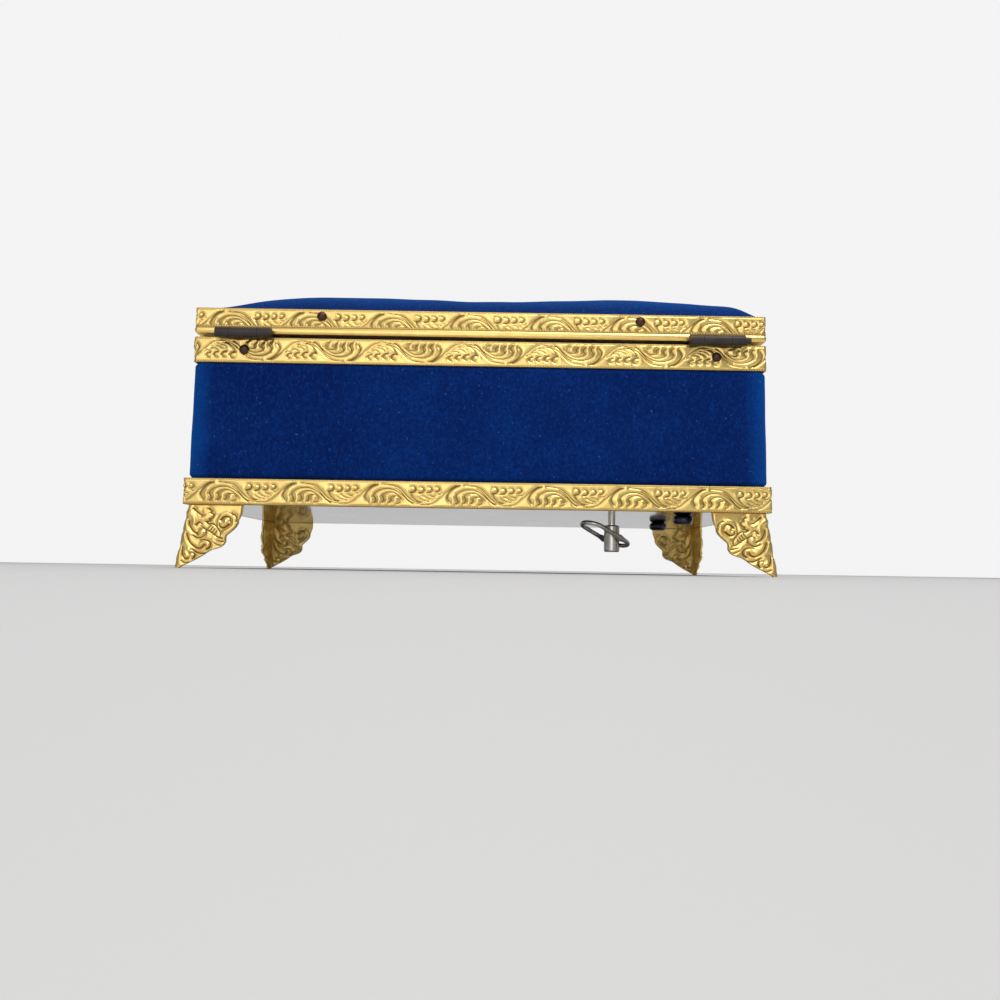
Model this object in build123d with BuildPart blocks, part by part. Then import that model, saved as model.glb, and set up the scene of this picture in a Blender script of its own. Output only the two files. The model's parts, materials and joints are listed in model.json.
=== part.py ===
from build123d import *
from math import asin, cos, pi, radians, sin
import os

# Footed musical jewelry box: velvet case in stamped gilt bands, padded velvet lid on two barrel hinges,
# wind-up comb movement under a lined cover. Millimetres, +Z up, front towards -Y, rear towards +Y.
# The origin is the middle of the four foot tips, on the surface that they stand on.

# Case of board
box_width = 175.2
box_depth = 92.6
wall_thick = 3.0
panel_thick = 3.1
velvet_thick = 0.7
lining_thick = 0.8

# Gilt bands of stamped strip; the two upper ones have a lip turned in
band_height = 8.08
upper_band_thick = 0.7
base_band_thick = 1.6
lip_thick = 0.6
upper_lip_width = 4.4
band_corner = 0.9
body_height = 52.3
lid_gap = 1.2

# Corner feet
foot_height = 19.35
foot_wing = 16.9
foot_thick = 0.9
foot_inset = 1.2
foot_flare = 2.4
foot_tip = 1.2
flange_thick = 0.7
flange_width = 7.0

# Lid
lid_board_thick = 6.5
pad_crown = 13.3
pad_end_fullness = 7.5
pad_side_fullness = 3.4
pad_levels = {0.0: 6.0, 0.2: 14.0, 0.4: 17.0, 0.6: 18.0, 0.8: 17.0, 0.93: 13.0, 0.99: 8.0}
pad_side_gap = 0.3
lid_lining_thick = 1.2
lid_lining_margin = 2.4
mirror_width = 118.0
mirror_depth = 54.0
mirror_gap = 0.1
tab_width = 15.0
tab_thick = 1.2
tab_rise = 1.0

# Barrel hinges
barrel_radius = 1.6
barrel_length = 17.0
barrel_inset = 14.6
barrel_stand_off = 0.35
middle_knuckle = 8.6
knuckle_gap = 0.1
hinge_pin_radius = 0.95
hinge_pin_ends = {-1: 1.8, 1: 0.2}
hinge_level = 0.7
leaf_thick = 0.4
leaf_reach = 3.6

# Nails and screws
nail_head_radius = 1.5
nail_head_height = 0.9
nail_shank_radius = 0.6
nail_length = 3.6
rim_nail_inset = 14.3
lid_nail_inset = 38.0
rim_nail_drop = 3.9
lid_nail_drop = 2.3
foot_nail_inset = 4.4
screw_head_radius = 3.15
screw_head_height = 2.9
screw_radius = 1.4
screw_length = 5.2
screw_head_round = 1.3
screw_slot_width = 0.8
screw_slot_depth = 1.0

# Linings and fittings inside
partition_inset = 69.4
partition_thick = 1.6
partition_drop = 7.0
cover_height = 28.0
cover_thick = 2.0
cover_leg = 1.5
fit_gap = 0.2
divider_inset = 54.6
divider_height = 28.0
roll_count = 5
roll_width = 10.0
roll_pitch = 10.4
roll_height = 8.0
roll_margin = 1.0
roll_end_gap = 2.3

# Wind-up movement
arbor_end_inset = 43.85
arbor_rear_inset = 18.6
arbor_radius = 1.2
arbor_drop = 6.2
bed_thick = 3.0
bed_left = 27.0
bed_right = 20.8
bed_front = 52.0
bed_rear = 12.8
screw_left = 22.2
screw_front = 34.2
screw_rear = 5.8
barrel_drum_radius = 10.0
barrel_drum_height = 8.0
barrel_drum_wall = 0.8
barrel_teeth = 36
cylinder_teeth = 12
barrel_rim = 0.8
post_radius = 1.6
post_gap = 1.0
bridge_gap = 1.2
bridge_overhang = 1.5
rim_thick = 1.2
cylinder_radius = 6.5
cylinder_length = 21.0
cylinder_end_gap = 2.7
cylinder_pinion_radius = 2.2
cylinder_pinion_length = 4.0
cylinder_arbor_radius = 1.0
cylinder_wheel_radius = 8.0
cylinder_wheel_teeth = 40
cylinder_wheel_gap = 1.2
music_pin_radius = 0.22
music_pin_height = 0.7
music_pin_root = 0.5
music_pin_margin = 1.5
music_pin_turn = 137.5
governor_pinion_radius = 2.0
governor_pinion_teeth = 10
governor_wheel_radius = 6.0
governor_wheel_teeth = 24
wheel_thick = 1.0
mesh_gap = 0.15
worm_radius = 1.2
worm_gap = 0.4
worm_margin = 1.0
frame_gap = 2.6
leg_gap = 1.0
fly_radius = 5.0
fly_height = 4.0
fly_blade_thick = 0.8
fly_stand_off = 3.5
brake_disc_radius = 3.0
brake_thick = 0.8
comb_tooth_count = 18
comb_tooth_gap = 0.3
comb_thick = 1.4
comb_reach = 12.0
comb_base = 6.5
comb_screw_radius = 0.9
comb_screw_head = 1.8
comb_screw_length = 4.0
bearing_thick = 1.5
bearing_rise = 3.0
ear_half_width = 3.0
arbor_end_gap = 0.3
bearing_gap = 0.8
bearing_half_width = 4.0
stop_rod_radius = 0.8
stop_rod_place = 8.5
finger_thick = 1.0
finger_overlap = 1.0
run_gap = 0.05
rest_gap = 0.3

# Folding winding key
key_hub_radius = 2.5
key_hub_top = 3.3
key_hub_length = 8.7
key_hub_round = 0.5
key_ring_length = 20.8
key_ring_width = 9.0
key_ring_wire = 1.4
key_ring_short_end = 7.05
key_ring_tilt = 20.7
key_ring_turn = 40.0
key_pin_radius = 0.45
key_ear_radius = 1.2
key_pin_place = 7.5

# Levels and half sizes that follow from the sizes above
z_base = foot_height
z_panel = z_base
z_floor = z_panel + panel_thick
z_rim = z_base + body_height
z_lid = z_rim + lid_gap
z_lid_board = z_lid + lip_thick
z_pad = z_lid_board + lid_board_thick
z_lid_top = z_lid + band_height
half_x = box_width / 2
half_y = box_depth / 2
velvet_x = half_x + velvet_thick
velvet_y = half_y + velvet_thick
upper_x = velvet_x + upper_band_thick
upper_y = velvet_y + upper_band_thick
base_x = velvet_x + base_band_thick
base_y = velvet_y + base_band_thick
inner_x = half_x - wall_thick - lining_thick
inner_y = half_y - wall_thick - lining_thick
hinge_y = upper_y + barrel_stand_off + barrel_radius
hinge_z = z_rim + lid_gap * hinge_level
z_rim_nail = z_rim - rim_nail_drop
z_lid_nail = z_lid_top - lid_nail_drop
z_bed = z_floor + bed_thick
barrel_place = half_x - barrel_inset
rim_nail_place = half_x - rim_nail_inset
lid_nail_place = half_x - lid_nail_inset
arbor_x = -half_x + arbor_end_inset
arbor_y = half_y - arbor_rear_inset
partition_place = -half_x + partition_inset
divider_place = half_x - divider_inset
z_cover = z_floor + cover_height
cover_low_x = -inner_x + fit_gap
partition_low_x = partition_place - partition_thick / 2
partition_high_x = partition_place + partition_thick / 2

os.makedirs("parts", exist_ok=True)


def save(piece, name):
    """Labels a finished piece and writes it under that name."""
    piece.part.label = name
    export_step(piece.part, f"parts/{name}.step")


def rod(radius, length, x, y, z, direction):
    """Adds a round rod from a point along a direction."""
    plane = Plane(origin=(x, y, z), z_dir=direction)
    with BuildSketch(plane) as section:
        Circle(radius)
    extrude(section.sketch, amount=length)


def drill(radius, length, x, y, z, direction):
    """Cuts a round hole from a point along a direction."""
    plane = Plane(origin=(x, y, z), z_dir=direction)
    with BuildSketch(plane) as section:
        Circle(radius)
    extrude(section.sketch, amount=length, mode=Mode.SUBTRACT)


def block(low, high, mode=Mode.ADD):
    """Adds or cuts the box between two corners."""
    with BuildSketch(Plane.XY.offset(low[2])) as section:
        with Locations(((low[0] + high[0]) / 2, (low[1] + high[1]) / 2)):
            Rectangle(high[0] - low[0], high[1] - low[1])
    extrude(section.sketch, amount=high[2] - low[2], mode=mode)


def hoop(outer_x, outer_y, thick, low, height):
    """Adds a rectangular hoop with rounded outer corners."""
    with BuildSketch(Plane.XY.offset(low)) as strip:
        RectangleRounded(2 * outer_x, 2 * outer_y, band_corner)
        Rectangle(2 * (outer_x - thick), 2 * (outer_y - thick), mode=Mode.SUBTRACT)
    extrude(strip.sketch, amount=height)


def upper_band(low, lip_low):
    """Adds an upper band with its lip turned inwards at one edge."""
    hoop(upper_x, upper_y, upper_band_thick, low, band_height)
    hoop(upper_x, upper_y, upper_lip_width, lip_low, lip_thick)


def nail_places(place, z):
    """Gives each nail of an upper band: two at the rear, two at the front and one at each end."""
    return [
        (place, upper_y, z, (0, 1, 0)),
        (-place, upper_y, z, (0, 1, 0)),
        (place, -upper_y, z, (0, -1, 0)),
        (-place, -upper_y, z, (0, -1, 0)),
        (upper_x, 0, z, (1, 0, 0)),
        (-upper_x, 0, z, (-1, 0, 0)),
    ]


def drill_nails(places):
    """Cuts the shank holes of the nails."""
    for x, y, z, out in places:
        inward = (-out[0], -out[1], -out[2])
        drill(nail_shank_radius + run_gap, nail_length + fit_gap, x, y, z, inward)


def nail(x, y, z, out):
    """Adds a nail with a domed head outside the point and a shank inside it."""
    side = Vector(out[1], out[2], out[0])
    half_turn = Plane(origin=(x, y, z), x_dir=side, z_dir=side.cross(Vector(out)))
    dome_radius = (nail_head_radius**2 + nail_head_height**2) / (2 * nail_head_height)
    with BuildSketch(half_turn) as profile:
        with BuildLine():
            half_way = asin(nail_head_radius / dome_radius) / 2
            crown = (dome_radius * sin(half_way), nail_head_height - dome_radius * (1 - cos(half_way)))
            ThreePointArc((nail_head_radius, 0), crown, (0, nail_head_height))
            Polyline(
                (0, nail_head_height),
                (0, -nail_length),
                (nail_shank_radius, -nail_length),
                (nail_shank_radius, 0),
                (nail_head_radius, 0),
            )
        make_face()
    revolve(profile.sketch, axis=Axis((x, y, z), out))


def toothed_disc(radius, teeth, thick, plane):
    """Adds a wheel with square-cut teeth, its tips at the radius."""
    depth = 0.9 * pi * radius / teeth
    with BuildSketch(plane) as wheel:
        Circle(radius - depth)
        with PolarLocations(radius - depth * 0.7, teeth):
            Rectangle(depth * 1.4, pi * radius / teeth * 0.8)
    extrude(wheel.sketch, amount=thick)


# Case: bottom panel, four walls and the velvet round them
screw_places = [
    (arbor_x - screw_left, arbor_y + screw_rear),
    (arbor_x - screw_left, arbor_y - screw_front),
]
foot_nail_x = base_x - foot_inset - foot_nail_inset
foot_nail_y = base_y - foot_inset - foot_nail_inset
foot_nail_places = [(x, y) for x in (-foot_nail_x, foot_nail_x) for y in (-foot_nail_y, foot_nail_y)]

with BuildPart() as bottom_panel:
    block((-velvet_x, -velvet_y, z_panel), (velvet_x, velvet_y, z_floor))
    drill(arbor_radius + fit_gap, panel_thick, arbor_x, arbor_y, z_panel, (0, 0, 1))
    for x, y in screw_places:
        drill(screw_radius + run_gap, panel_thick, x, y, z_panel, (0, 0, 1))
    for x, y in foot_nail_places:
        drill(nail_shank_radius + run_gap, panel_thick, x, y, z_panel, (0, 0, 1))
save(bottom_panel, "bottom_panel")

z_wall_top = z_rim - lip_thick
rim_nails = nail_places(rim_nail_place, z_rim_nail)
long_walls = {"front_wall": (-half_y, -half_y + wall_thick), "rear_wall": (half_y - wall_thick, half_y)}
for name, (low_y, high_y) in long_walls.items():
    with BuildPart() as long_wall:
        block((-half_x, low_y, z_floor), (half_x, high_y, z_wall_top))
        drill_nails(rim_nails[:4])
    save(long_wall, name)

end_walls = {"left_wall": (-half_x, -half_x + wall_thick), "right_wall": (half_x - wall_thick, half_x)}
for name, (low_x, high_x) in end_walls.items():
    with BuildPart() as end_wall:
        block((low_x, -half_y + wall_thick, z_floor), (high_x, half_y - wall_thick, z_wall_top))
        drill_nails(rim_nails[4:])
    save(end_wall, name)

with BuildPart() as velvet_cover:
    with BuildSketch(Plane.XY.offset(z_floor)):
        Rectangle(2 * velvet_x, 2 * velvet_y)
        Rectangle(2 * half_x, 2 * half_y, mode=Mode.SUBTRACT)
    extrude(amount=z_wall_top - z_floor)
    drill_nails(rim_nails)
save(velvet_cover, "velvet_cover")

with BuildPart() as wall_lining:
    with BuildSketch(Plane.XY.offset(z_floor)):
        Rectangle(2 * (inner_x + lining_thick), 2 * (inner_y + lining_thick))
        Rectangle(2 * inner_x, 2 * inner_y, mode=Mode.SUBTRACT)
    extrude(amount=z_wall_top - z_floor)
save(wall_lining, "wall_lining")

# Gilt bands of the case
with BuildPart() as base_band:
    hoop(base_x, base_y, base_band_thick, z_base, band_height)
save(base_band, "base_band")

with BuildPart() as body_rim_band:
    upper_band(z_rim - band_height, z_rim - lip_thick)
    drill_nails(rim_nails)
save(body_rim_band, "body_rim_band")

with BuildPart() as body_rim_nails:
    for x, y, z, out in rim_nails:
        nail(x, y, z, out)
save(body_rim_nails, "body_rim_nails")

# Corner feet: two scalloped wings that meet in a sloping spine, under a flat flange
foot_x = base_x - foot_inset
foot_y = base_y - foot_inset
z_flange = z_base - flange_thick


def corner_section(x, y, reach, z):
    """Sketches the L section of a foot with its outer corner at x, y."""
    with BuildSketch(Plane.XY.offset(z)) as section:
        with BuildLine():
            Polyline(
                (x, y),
                (x - reach, y),
                (x - reach, y - foot_thick),
                (x - foot_thick, y - foot_thick),
                (x - foot_thick, y - reach),
                (x, y - reach),
                close=True,
            )
        make_face()
    return section.sketch


def scallop(plane, corner):
    """Cuts the scalloped inner edge of one wing, drawn inwards from the corner and down from the flange."""
    wing = foot_wing
    drop = z_flange

    def at(inward, down):
        return corner - inward * wing, z_flange - down * drop

    tip = corner + foot_flare - foot_tip
    with BuildSketch(plane) as outline:
        with BuildLine():
            ThreePointArc(at(1.0, 0.0), at(1.0, 0.1), at(0.93, 0.19))
            ThreePointArc(at(0.93, 0.19), at(0.96, 0.33), at(0.79, 0.46))
            ThreePointArc(at(0.79, 0.46), at(0.735, 0.635), at(0.51, 0.68))
            ThreePointArc(at(0.51, 0.68), at(0.30, 0.85), (tip, 0))
            Polyline((tip, 0), (tip, -wing), at(1.6, 1.6), at(1.6, 0.0), at(1.0, 0.0))
        make_face()
    extrude(outline.sketch, amount=2 * wing + 2 * corner, both=True, mode=Mode.SUBTRACT)


with BuildPart() as foot_rear_right:
    wing_top = corner_section(foot_x, foot_y, foot_wing, z_flange)
    wing_tip = corner_section(foot_x + foot_flare, foot_y + foot_flare, foot_wing + foot_flare, 0)
    loft(sections=[wing_tip, wing_top], ruled=True)
    scallop(Plane.XZ, foot_x)
    scallop(Plane.YZ, foot_y)
    with BuildSketch(Plane.XY.offset(z_flange)):
        with BuildLine():
            Polyline(
                (foot_x, foot_y),
                (foot_x - foot_wing, foot_y),
                (foot_x - foot_wing, foot_y - foot_thick - fit_gap),
                (foot_x - flange_width, foot_y - flange_width),
                (foot_x - foot_thick - fit_gap, foot_y - foot_wing),
                (foot_x, foot_y - foot_wing),
                close=True,
            )
        make_face()
    extrude(amount=flange_thick)
    drill(nail_shank_radius + run_gap, flange_thick, foot_nail_x, foot_nail_y, z_flange, (0, 0, 1))
save(foot_rear_right, "foot_rear_right")

with BuildPart() as foot_rear_left:
    mirror(foot_rear_right.part, about=Plane.YZ)
save(foot_rear_left, "foot_rear_left")

with BuildPart() as foot_front_right:
    mirror(foot_rear_right.part, about=Plane.XZ)
save(foot_front_right, "foot_front_right")

with BuildPart() as foot_front_left:
    mirror(foot_rear_left.part, about=Plane.XZ)
save(foot_front_left, "foot_front_left")

with BuildPart() as foot_nails:
    for x, y in foot_nail_places:
        nail(x, y, z_flange, (0, 0, -1))
save(foot_nails, "foot_nails")

# Hinge barrels on flat leaves that come out of the gap between the bands
z_case_leaf = z_rim
z_lid_leaf = z_lid - leaf_thick
outer_knuckle = (barrel_length - middle_knuckle) / 2 - knuckle_gap
leaf_low_y = upper_y - leaf_reach


def knuckle(middle_x, length):
    """Adds one solid length of hinge barrel."""
    rod(barrel_radius, length, middle_x - length / 2, hinge_y, hinge_z, (1, 0, 0))


def pin_bore(middle_x):
    """Cuts the bore through a whole hinge barrel."""
    length = barrel_length + 2 * fit_gap
    drill(hinge_pin_radius + run_gap, length, middle_x - length / 2, hinge_y, hinge_z, (1, 0, 0))


for side_name, side in (("left", -1), ("right", 1)):
    middle = side * barrel_place
    outer_middle = (barrel_length - outer_knuckle) / 2
    with BuildPart() as case_leaf:
        for end in (-1, 1):
            low_x = middle + end * outer_middle - outer_knuckle / 2
            block((low_x, leaf_low_y, z_case_leaf), (low_x + outer_knuckle, hinge_y, z_case_leaf + leaf_thick))
            knuckle(middle + end * outer_middle, outer_knuckle)
        bar_high_y = leaf_low_y + leaf_reach / 2
        bar_low = (middle - barrel_length / 2, leaf_low_y, z_case_leaf)
        block(bar_low, (middle + barrel_length / 2, bar_high_y, z_case_leaf + leaf_thick))
        pin_bore(middle)
    save(case_leaf, f"case_hinge_leaf_{side_name}")

    with BuildPart() as lid_leaf:
        low_x = middle - middle_knuckle / 2
        block((low_x, leaf_low_y, z_lid_leaf), (low_x + middle_knuckle, hinge_y, z_lid))
        knuckle(middle, middle_knuckle)
        pin_bore(middle)
    save(lid_leaf, f"lid_hinge_leaf_{side_name}")

with BuildPart() as hinge_pins:
    for side, pin_end in hinge_pin_ends.items():
        inner_end = side * (barrel_place - barrel_length / 2)
        pin_length = barrel_length + pin_end
        rod(hinge_pin_radius, pin_length, inner_end, hinge_y, hinge_z, (side, 0, 0))
save(hinge_pins, "hinge_pins")

# Lid: gilt band, board, padded velvet top, lining with a mirror, lift tab
lid_nails = nail_places(lid_nail_place, z_lid_nail)
lid_hole_x = upper_x - upper_lip_width - fit_gap
lid_hole_y = upper_y - upper_lip_width - fit_gap

with BuildPart() as lid_band:
    upper_band(z_lid, z_lid)
    drill_nails(lid_nails)
save(lid_band, "lid_band")

with BuildPart() as lid_board:
    block((-velvet_x, -velvet_y, z_lid_board), (velvet_x, velvet_y, z_pad))
    drill_nails(lid_nails)
save(lid_board, "lid_board")

with BuildPart() as lid_nail_set:
    for x, y, z, out in lid_nails:
        nail(x, y, z, out)
save(lid_nail_set, "lid_nails")

# The pad rises steeply from its edges and levels out towards the middle; each level has its corner radius
pad_x = velvet_x - pad_side_gap
pad_y = velvet_y - pad_side_gap
with BuildPart() as lid_pad:
    for level, corner in pad_levels.items():
        level_x = pad_x * (1 - level) ** (1 / pad_end_fullness)
        level_y = pad_y * (1 - level) ** (1 / pad_side_fullness)
        with BuildSketch(Plane.XY.offset(z_lid_top + pad_crown * level)):
            RectangleRounded(2 * level_x, 2 * level_y, corner)
    loft(ruled=True)
    with BuildSketch(Plane.XY.offset(z_pad)):
        RectangleRounded(2 * pad_x, 2 * pad_y, pad_levels[0.0])
    extrude(amount=z_lid_top - z_pad)
save(lid_pad, "lid_pad")

z_lining_low = z_lid_board - lid_lining_thick
with BuildPart() as lid_lining:
    block((-lid_hole_x, -lid_hole_y, z_lining_low), (lid_hole_x, lid_hole_y, z_lid_board))
    recess = (mirror_width / 2 + mirror_gap, mirror_depth / 2 + mirror_gap)
    block((-recess[0], -recess[1], z_lining_low), (*recess, z_lid_board), Mode.SUBTRACT)
save(lid_lining, "lid_lining")

with BuildPart() as lid_mirror:
    mirror_high = (mirror_width / 2, mirror_depth / 2, z_lid_board)
    block((-mirror_width / 2, -mirror_depth / 2, z_lining_low), mirror_high)
    chamfer(lid_mirror.faces().sort_by(Axis.Z)[0].edges(), length=lid_lining_thick / 3)
save(lid_mirror, "lid_mirror")

tab_reach = hinge_y + barrel_radius - upper_y
with BuildPart() as lift_tab:
    with BuildSketch(Plane.XY.offset(z_lid + tab_rise)):
        with Locations((0, -upper_y - tab_reach / 2)):
            Rectangle(tab_width, tab_reach)
    extrude(amount=tab_thick)
    fillet(lift_tab.edges().filter_by(Axis.Z).group_by(Axis.Y)[0], radius=tab_reach * 0.7)
save(lift_tab, "lift_tab")

# Linings and fittings inside the case
partition_top = z_rim - partition_drop
with BuildPart() as partition:
    low = (partition_low_x, -inner_y + fit_gap, z_floor)
    block(low, (partition_high_x, inner_y - fit_gap, partition_top))
save(partition, "partition")

with BuildPart() as floor_lining:
    low = (partition_high_x, -inner_y + fit_gap, z_floor)
    block(low, (inner_x - fit_gap, inner_y - fit_gap, z_floor + lining_thick))
save(floor_lining, "floor_lining")

z_tray = z_floor + lining_thick
with BuildPart() as tray_divider:
    low = (divider_place - partition_thick / 2, -inner_y + fit_gap, z_tray)
    block(low, (divider_place + partition_thick / 2, inner_y - fit_gap, z_tray + divider_height))
save(tray_divider, "tray_divider")

# Places of the movement, worked out from the winding arbor
barrel_low = z_bed + rest_gap
z_rim_wheel = barrel_low + barrel_drum_height
barrel_rim_radius = barrel_drum_radius + barrel_rim
cylinder_z = z_rim_wheel + rim_thick + rest_gap + cylinder_pinion_radius
pinion_rear = arbor_y - barrel_drum_radius + cylinder_pinion_length / 2
pinion_front = pinion_rear - cylinder_pinion_length
cylinder_rear = pinion_front - cylinder_end_gap
cylinder_front = cylinder_rear - cylinder_length
wheel_rear = cylinder_front - cylinder_wheel_gap
wheel_front = wheel_rear - wheel_thick
front_bearing_rear = wheel_front - bearing_gap
front_bearing_front = front_bearing_rear - bearing_thick
rear_ear_front = pinion_rear + bearing_gap
arbor_top = cylinder_z + cylinder_pinion_radius
governor_x = arbor_x + cylinder_wheel_radius + governor_pinion_radius + mesh_gap
fly_x = governor_x + governor_wheel_radius + worm_radius + worm_gap
fly_y = front_bearing_front - fly_stand_off
stop_rod_x = fly_x
stop_rod_y = fly_y + stop_rod_place
rear_leg_y = stop_rod_y + stop_rod_radius + leg_gap
front_leg_y = fly_y - fly_radius - rest_gap - bearing_thick
comb_right = arbor_x - cylinder_radius - music_pin_height - rest_gap
comb_left = comb_right - comb_reach - comb_base
comb_low_z = cylinder_z - comb_thick / 2
comb_screw_places = [
    (comb_left + comb_base / 2, cylinder_front + cylinder_length * share) for share in (0.25, 0.75)
]

# Cover over the movement, with the ring rolls on it
cover_y = inner_y - fit_gap
with BuildPart() as movement_cover:
    block((cover_low_x, -cover_y, z_cover - cover_thick), (partition_low_x, cover_y, z_cover))
    block((cover_low_x, -cover_y, z_floor), (partition_low_x, -cover_y + cover_leg, z_cover - cover_thick))
    block((cover_low_x, cover_y - cover_leg, z_floor), (partition_low_x, cover_y, z_cover - cover_thick))
    hole_radius = stop_rod_radius + rest_gap
    drill(hole_radius, cover_thick, stop_rod_x, stop_rod_y, z_cover - cover_thick, (0, 0, 1))
save(movement_cover, "movement_cover")

roll_length = 2 * (cover_y - roll_end_gap)
for index in range(roll_count):
    middle = cover_low_x + roll_margin + roll_width / 2 + index * roll_pitch
    half = roll_width / 2
    waist = half * 0.94
    with BuildPart() as ring_roll:
        with BuildSketch(Plane.XZ.offset(-roll_length / 2)):
            with BuildLine():
                side_top = z_cover + roll_height * 0.45
                ThreePointArc((middle - waist, z_cover), (middle - half, z_cover + roll_height * 0.25),
                              (middle - waist, side_top))
                ThreePointArc((middle - waist, side_top), (middle, z_cover + roll_height),
                              (middle + waist, side_top))
                ThreePointArc((middle + waist, side_top), (middle + half, z_cover + roll_height * 0.25),
                              (middle + waist, z_cover))
                Line((middle + waist, z_cover), (middle - waist, z_cover))
            make_face()
        extrude(amount=roll_length)
    save(ring_roll, f"ring_roll_{index + 1}")

# Wind-up movement on the bottom panel, under the cover
bed_box = (
    (arbor_x - bed_left, arbor_y - bed_front, z_floor),
    (arbor_x + bed_right, arbor_y + bed_rear, z_bed),
)
with BuildPart() as movement_bedplate:
    block(*bed_box)
    fillet(movement_bedplate.edges().filter_by(Axis.Z), radius=bed_thick)
    drill(arbor_radius + run_gap, bed_thick, arbor_x, arbor_y, z_floor, (0, 0, 1))
    drill(cylinder_arbor_radius + run_gap, bed_thick, fly_x, fly_y, z_floor, (0, 0, 1))
    for x, y in screw_places:
        drill(screw_radius + run_gap, bed_thick, x, y, z_floor, (0, 0, 1))
    heel_high = (comb_left + comb_base, cylinder_rear, comb_low_z)
    block((comb_left, cylinder_front, z_bed), heel_high)
    for x, y in comb_screw_places:
        drill(comb_screw_radius + run_gap, comb_screw_length, x, y, comb_low_z, (0, 0, -1))
save(movement_bedplate, "movement_bedplate")

with BuildPart() as mounting_screws:
    for x, y in screw_places:
        rod(screw_radius, screw_length, x, y, z_panel, (0, 0, 1))
        rod(screw_head_radius, screw_head_height, x, y, z_panel, (0, 0, -1))
    rounds = mounting_screws.edges().filter_by(GeomType.CIRCLE)
    fillet(rounds.filter_by(lambda edge: edge.radius > screw_radius + run_gap), radius=screw_head_round)
    for x, y in screw_places:
        z_head = z_panel - screw_head_height
        slot_low = (x - screw_head_radius, y - screw_slot_width / 2, z_head)
        slot_high = (x + screw_head_radius, y + screw_slot_width / 2, z_head + screw_slot_depth)
        block(slot_low, slot_high, Mode.SUBTRACT)
save(mounting_screws, "mounting_screws")

with BuildPart() as spring_barrel:
    rod(barrel_drum_radius, barrel_drum_height, arbor_x, arbor_y, barrel_low, (0, 0, 1))
    spring_room = barrel_drum_height - barrel_drum_wall
    drill(barrel_drum_radius - barrel_drum_wall, spring_room, arbor_x, arbor_y, barrel_low, (0, 0, 1))
    toothed_disc(barrel_rim_radius, barrel_teeth, rim_thick, Plane((arbor_x, arbor_y, z_rim_wheel)))
    drill(arbor_radius + run_gap, 2 * barrel_drum_height, arbor_x, arbor_y, barrel_low, (0, 0, 1))
save(spring_barrel, "spring_barrel")

with BuildPart() as mainspring:
    coil_radius = barrel_drum_radius - barrel_drum_wall - fit_gap
    coil_height = barrel_drum_height - barrel_drum_wall - 2 * fit_gap
    rod(coil_radius, coil_height, arbor_x, arbor_y, barrel_low + fit_gap, (0, 0, 1))
    drill(coil_radius * 0.55, coil_height, arbor_x, arbor_y, barrel_low + fit_gap, (0, 0, 1))
save(mainspring, "mainspring")

post_spread = barrel_rim_radius + post_radius + post_gap
z_bridge = z_rim_wheel + rim_thick + bridge_gap
with BuildPart() as barrel_bridge:
    for side in (-1, 1):
        rod(post_radius, z_bridge - z_bed, arbor_x + side * post_spread, arbor_y, z_bed, (0, 0, 1))
    low = (arbor_x - post_spread - post_radius, rear_ear_front, z_bridge)
    high = (arbor_x + post_spread + post_radius, arbor_y + post_radius + bridge_overhang, z_bridge + bearing_thick)
    block(low, high)
    ear_low = (arbor_x - ear_half_width, rear_ear_front, z_bridge)
    block(ear_low, (arbor_x + ear_half_width, rear_ear_front + bearing_thick, cylinder_z + bearing_rise))
    drill(arbor_radius + run_gap, arbor_top, arbor_x, arbor_y, z_bridge, (0, 0, 1))
    drill(cylinder_arbor_radius + run_gap, 2 * bearing_thick, arbor_x, rear_ear_front, cylinder_z, (0, 1, 0))
save(barrel_bridge, "barrel_bridge")

with BuildPart() as front_bearing:
    low = (arbor_x - bearing_half_width, front_bearing_front, z_bed)
    block(low, (governor_x + ear_half_width, front_bearing_rear, cylinder_z + bearing_rise))
    for x in (arbor_x, governor_x):
        drill(cylinder_arbor_radius + run_gap, bearing_thick, x, front_bearing_front, cylinder_z, (0, 1, 0))
save(front_bearing, "front_bearing")

with BuildPart() as pin_cylinder:
    rod(cylinder_radius, cylinder_length, arbor_x, cylinder_front, cylinder_z, (0, 1, 0))
    row_pitch = (cylinder_length - 2 * music_pin_margin) / (comb_tooth_count - 1)
    for row in range(comb_tooth_count):
        turn = radians(row * music_pin_turn)
        pin_x = arbor_x + (cylinder_radius - music_pin_root) * cos(turn)
        pin_z = cylinder_z + (cylinder_radius - music_pin_root) * sin(turn)
        pin_y = cylinder_front + music_pin_margin + row * row_pitch
        pin_length = music_pin_root + music_pin_height
        rod(music_pin_radius, pin_length, pin_x, pin_y, pin_z, (cos(turn), 0, sin(turn)))
    drill(cylinder_arbor_radius, cylinder_length, arbor_x, cylinder_front, cylinder_z, (0, 1, 0))
save(pin_cylinder, "pin_cylinder")

with BuildPart() as cylinder_arbor:
    arbor_front = front_bearing_front + arbor_end_gap
    arbor_length = rear_ear_front + bearing_thick - arbor_end_gap - arbor_front
    rod(cylinder_arbor_radius, arbor_length, arbor_x, arbor_front, cylinder_z, (0, 1, 0))
    pinion_plane = Plane(origin=(arbor_x, pinion_front, cylinder_z), z_dir=(0, 1, 0))
    toothed_disc(cylinder_pinion_radius, cylinder_teeth, cylinder_pinion_length, pinion_plane)
    wheel_plane = Plane(origin=(arbor_x, wheel_front, cylinder_z), z_dir=(0, 1, 0))
    toothed_disc(cylinder_wheel_radius, cylinder_wheel_teeth, wheel_thick, wheel_plane)
save(cylinder_arbor, "cylinder_arbor")

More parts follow.
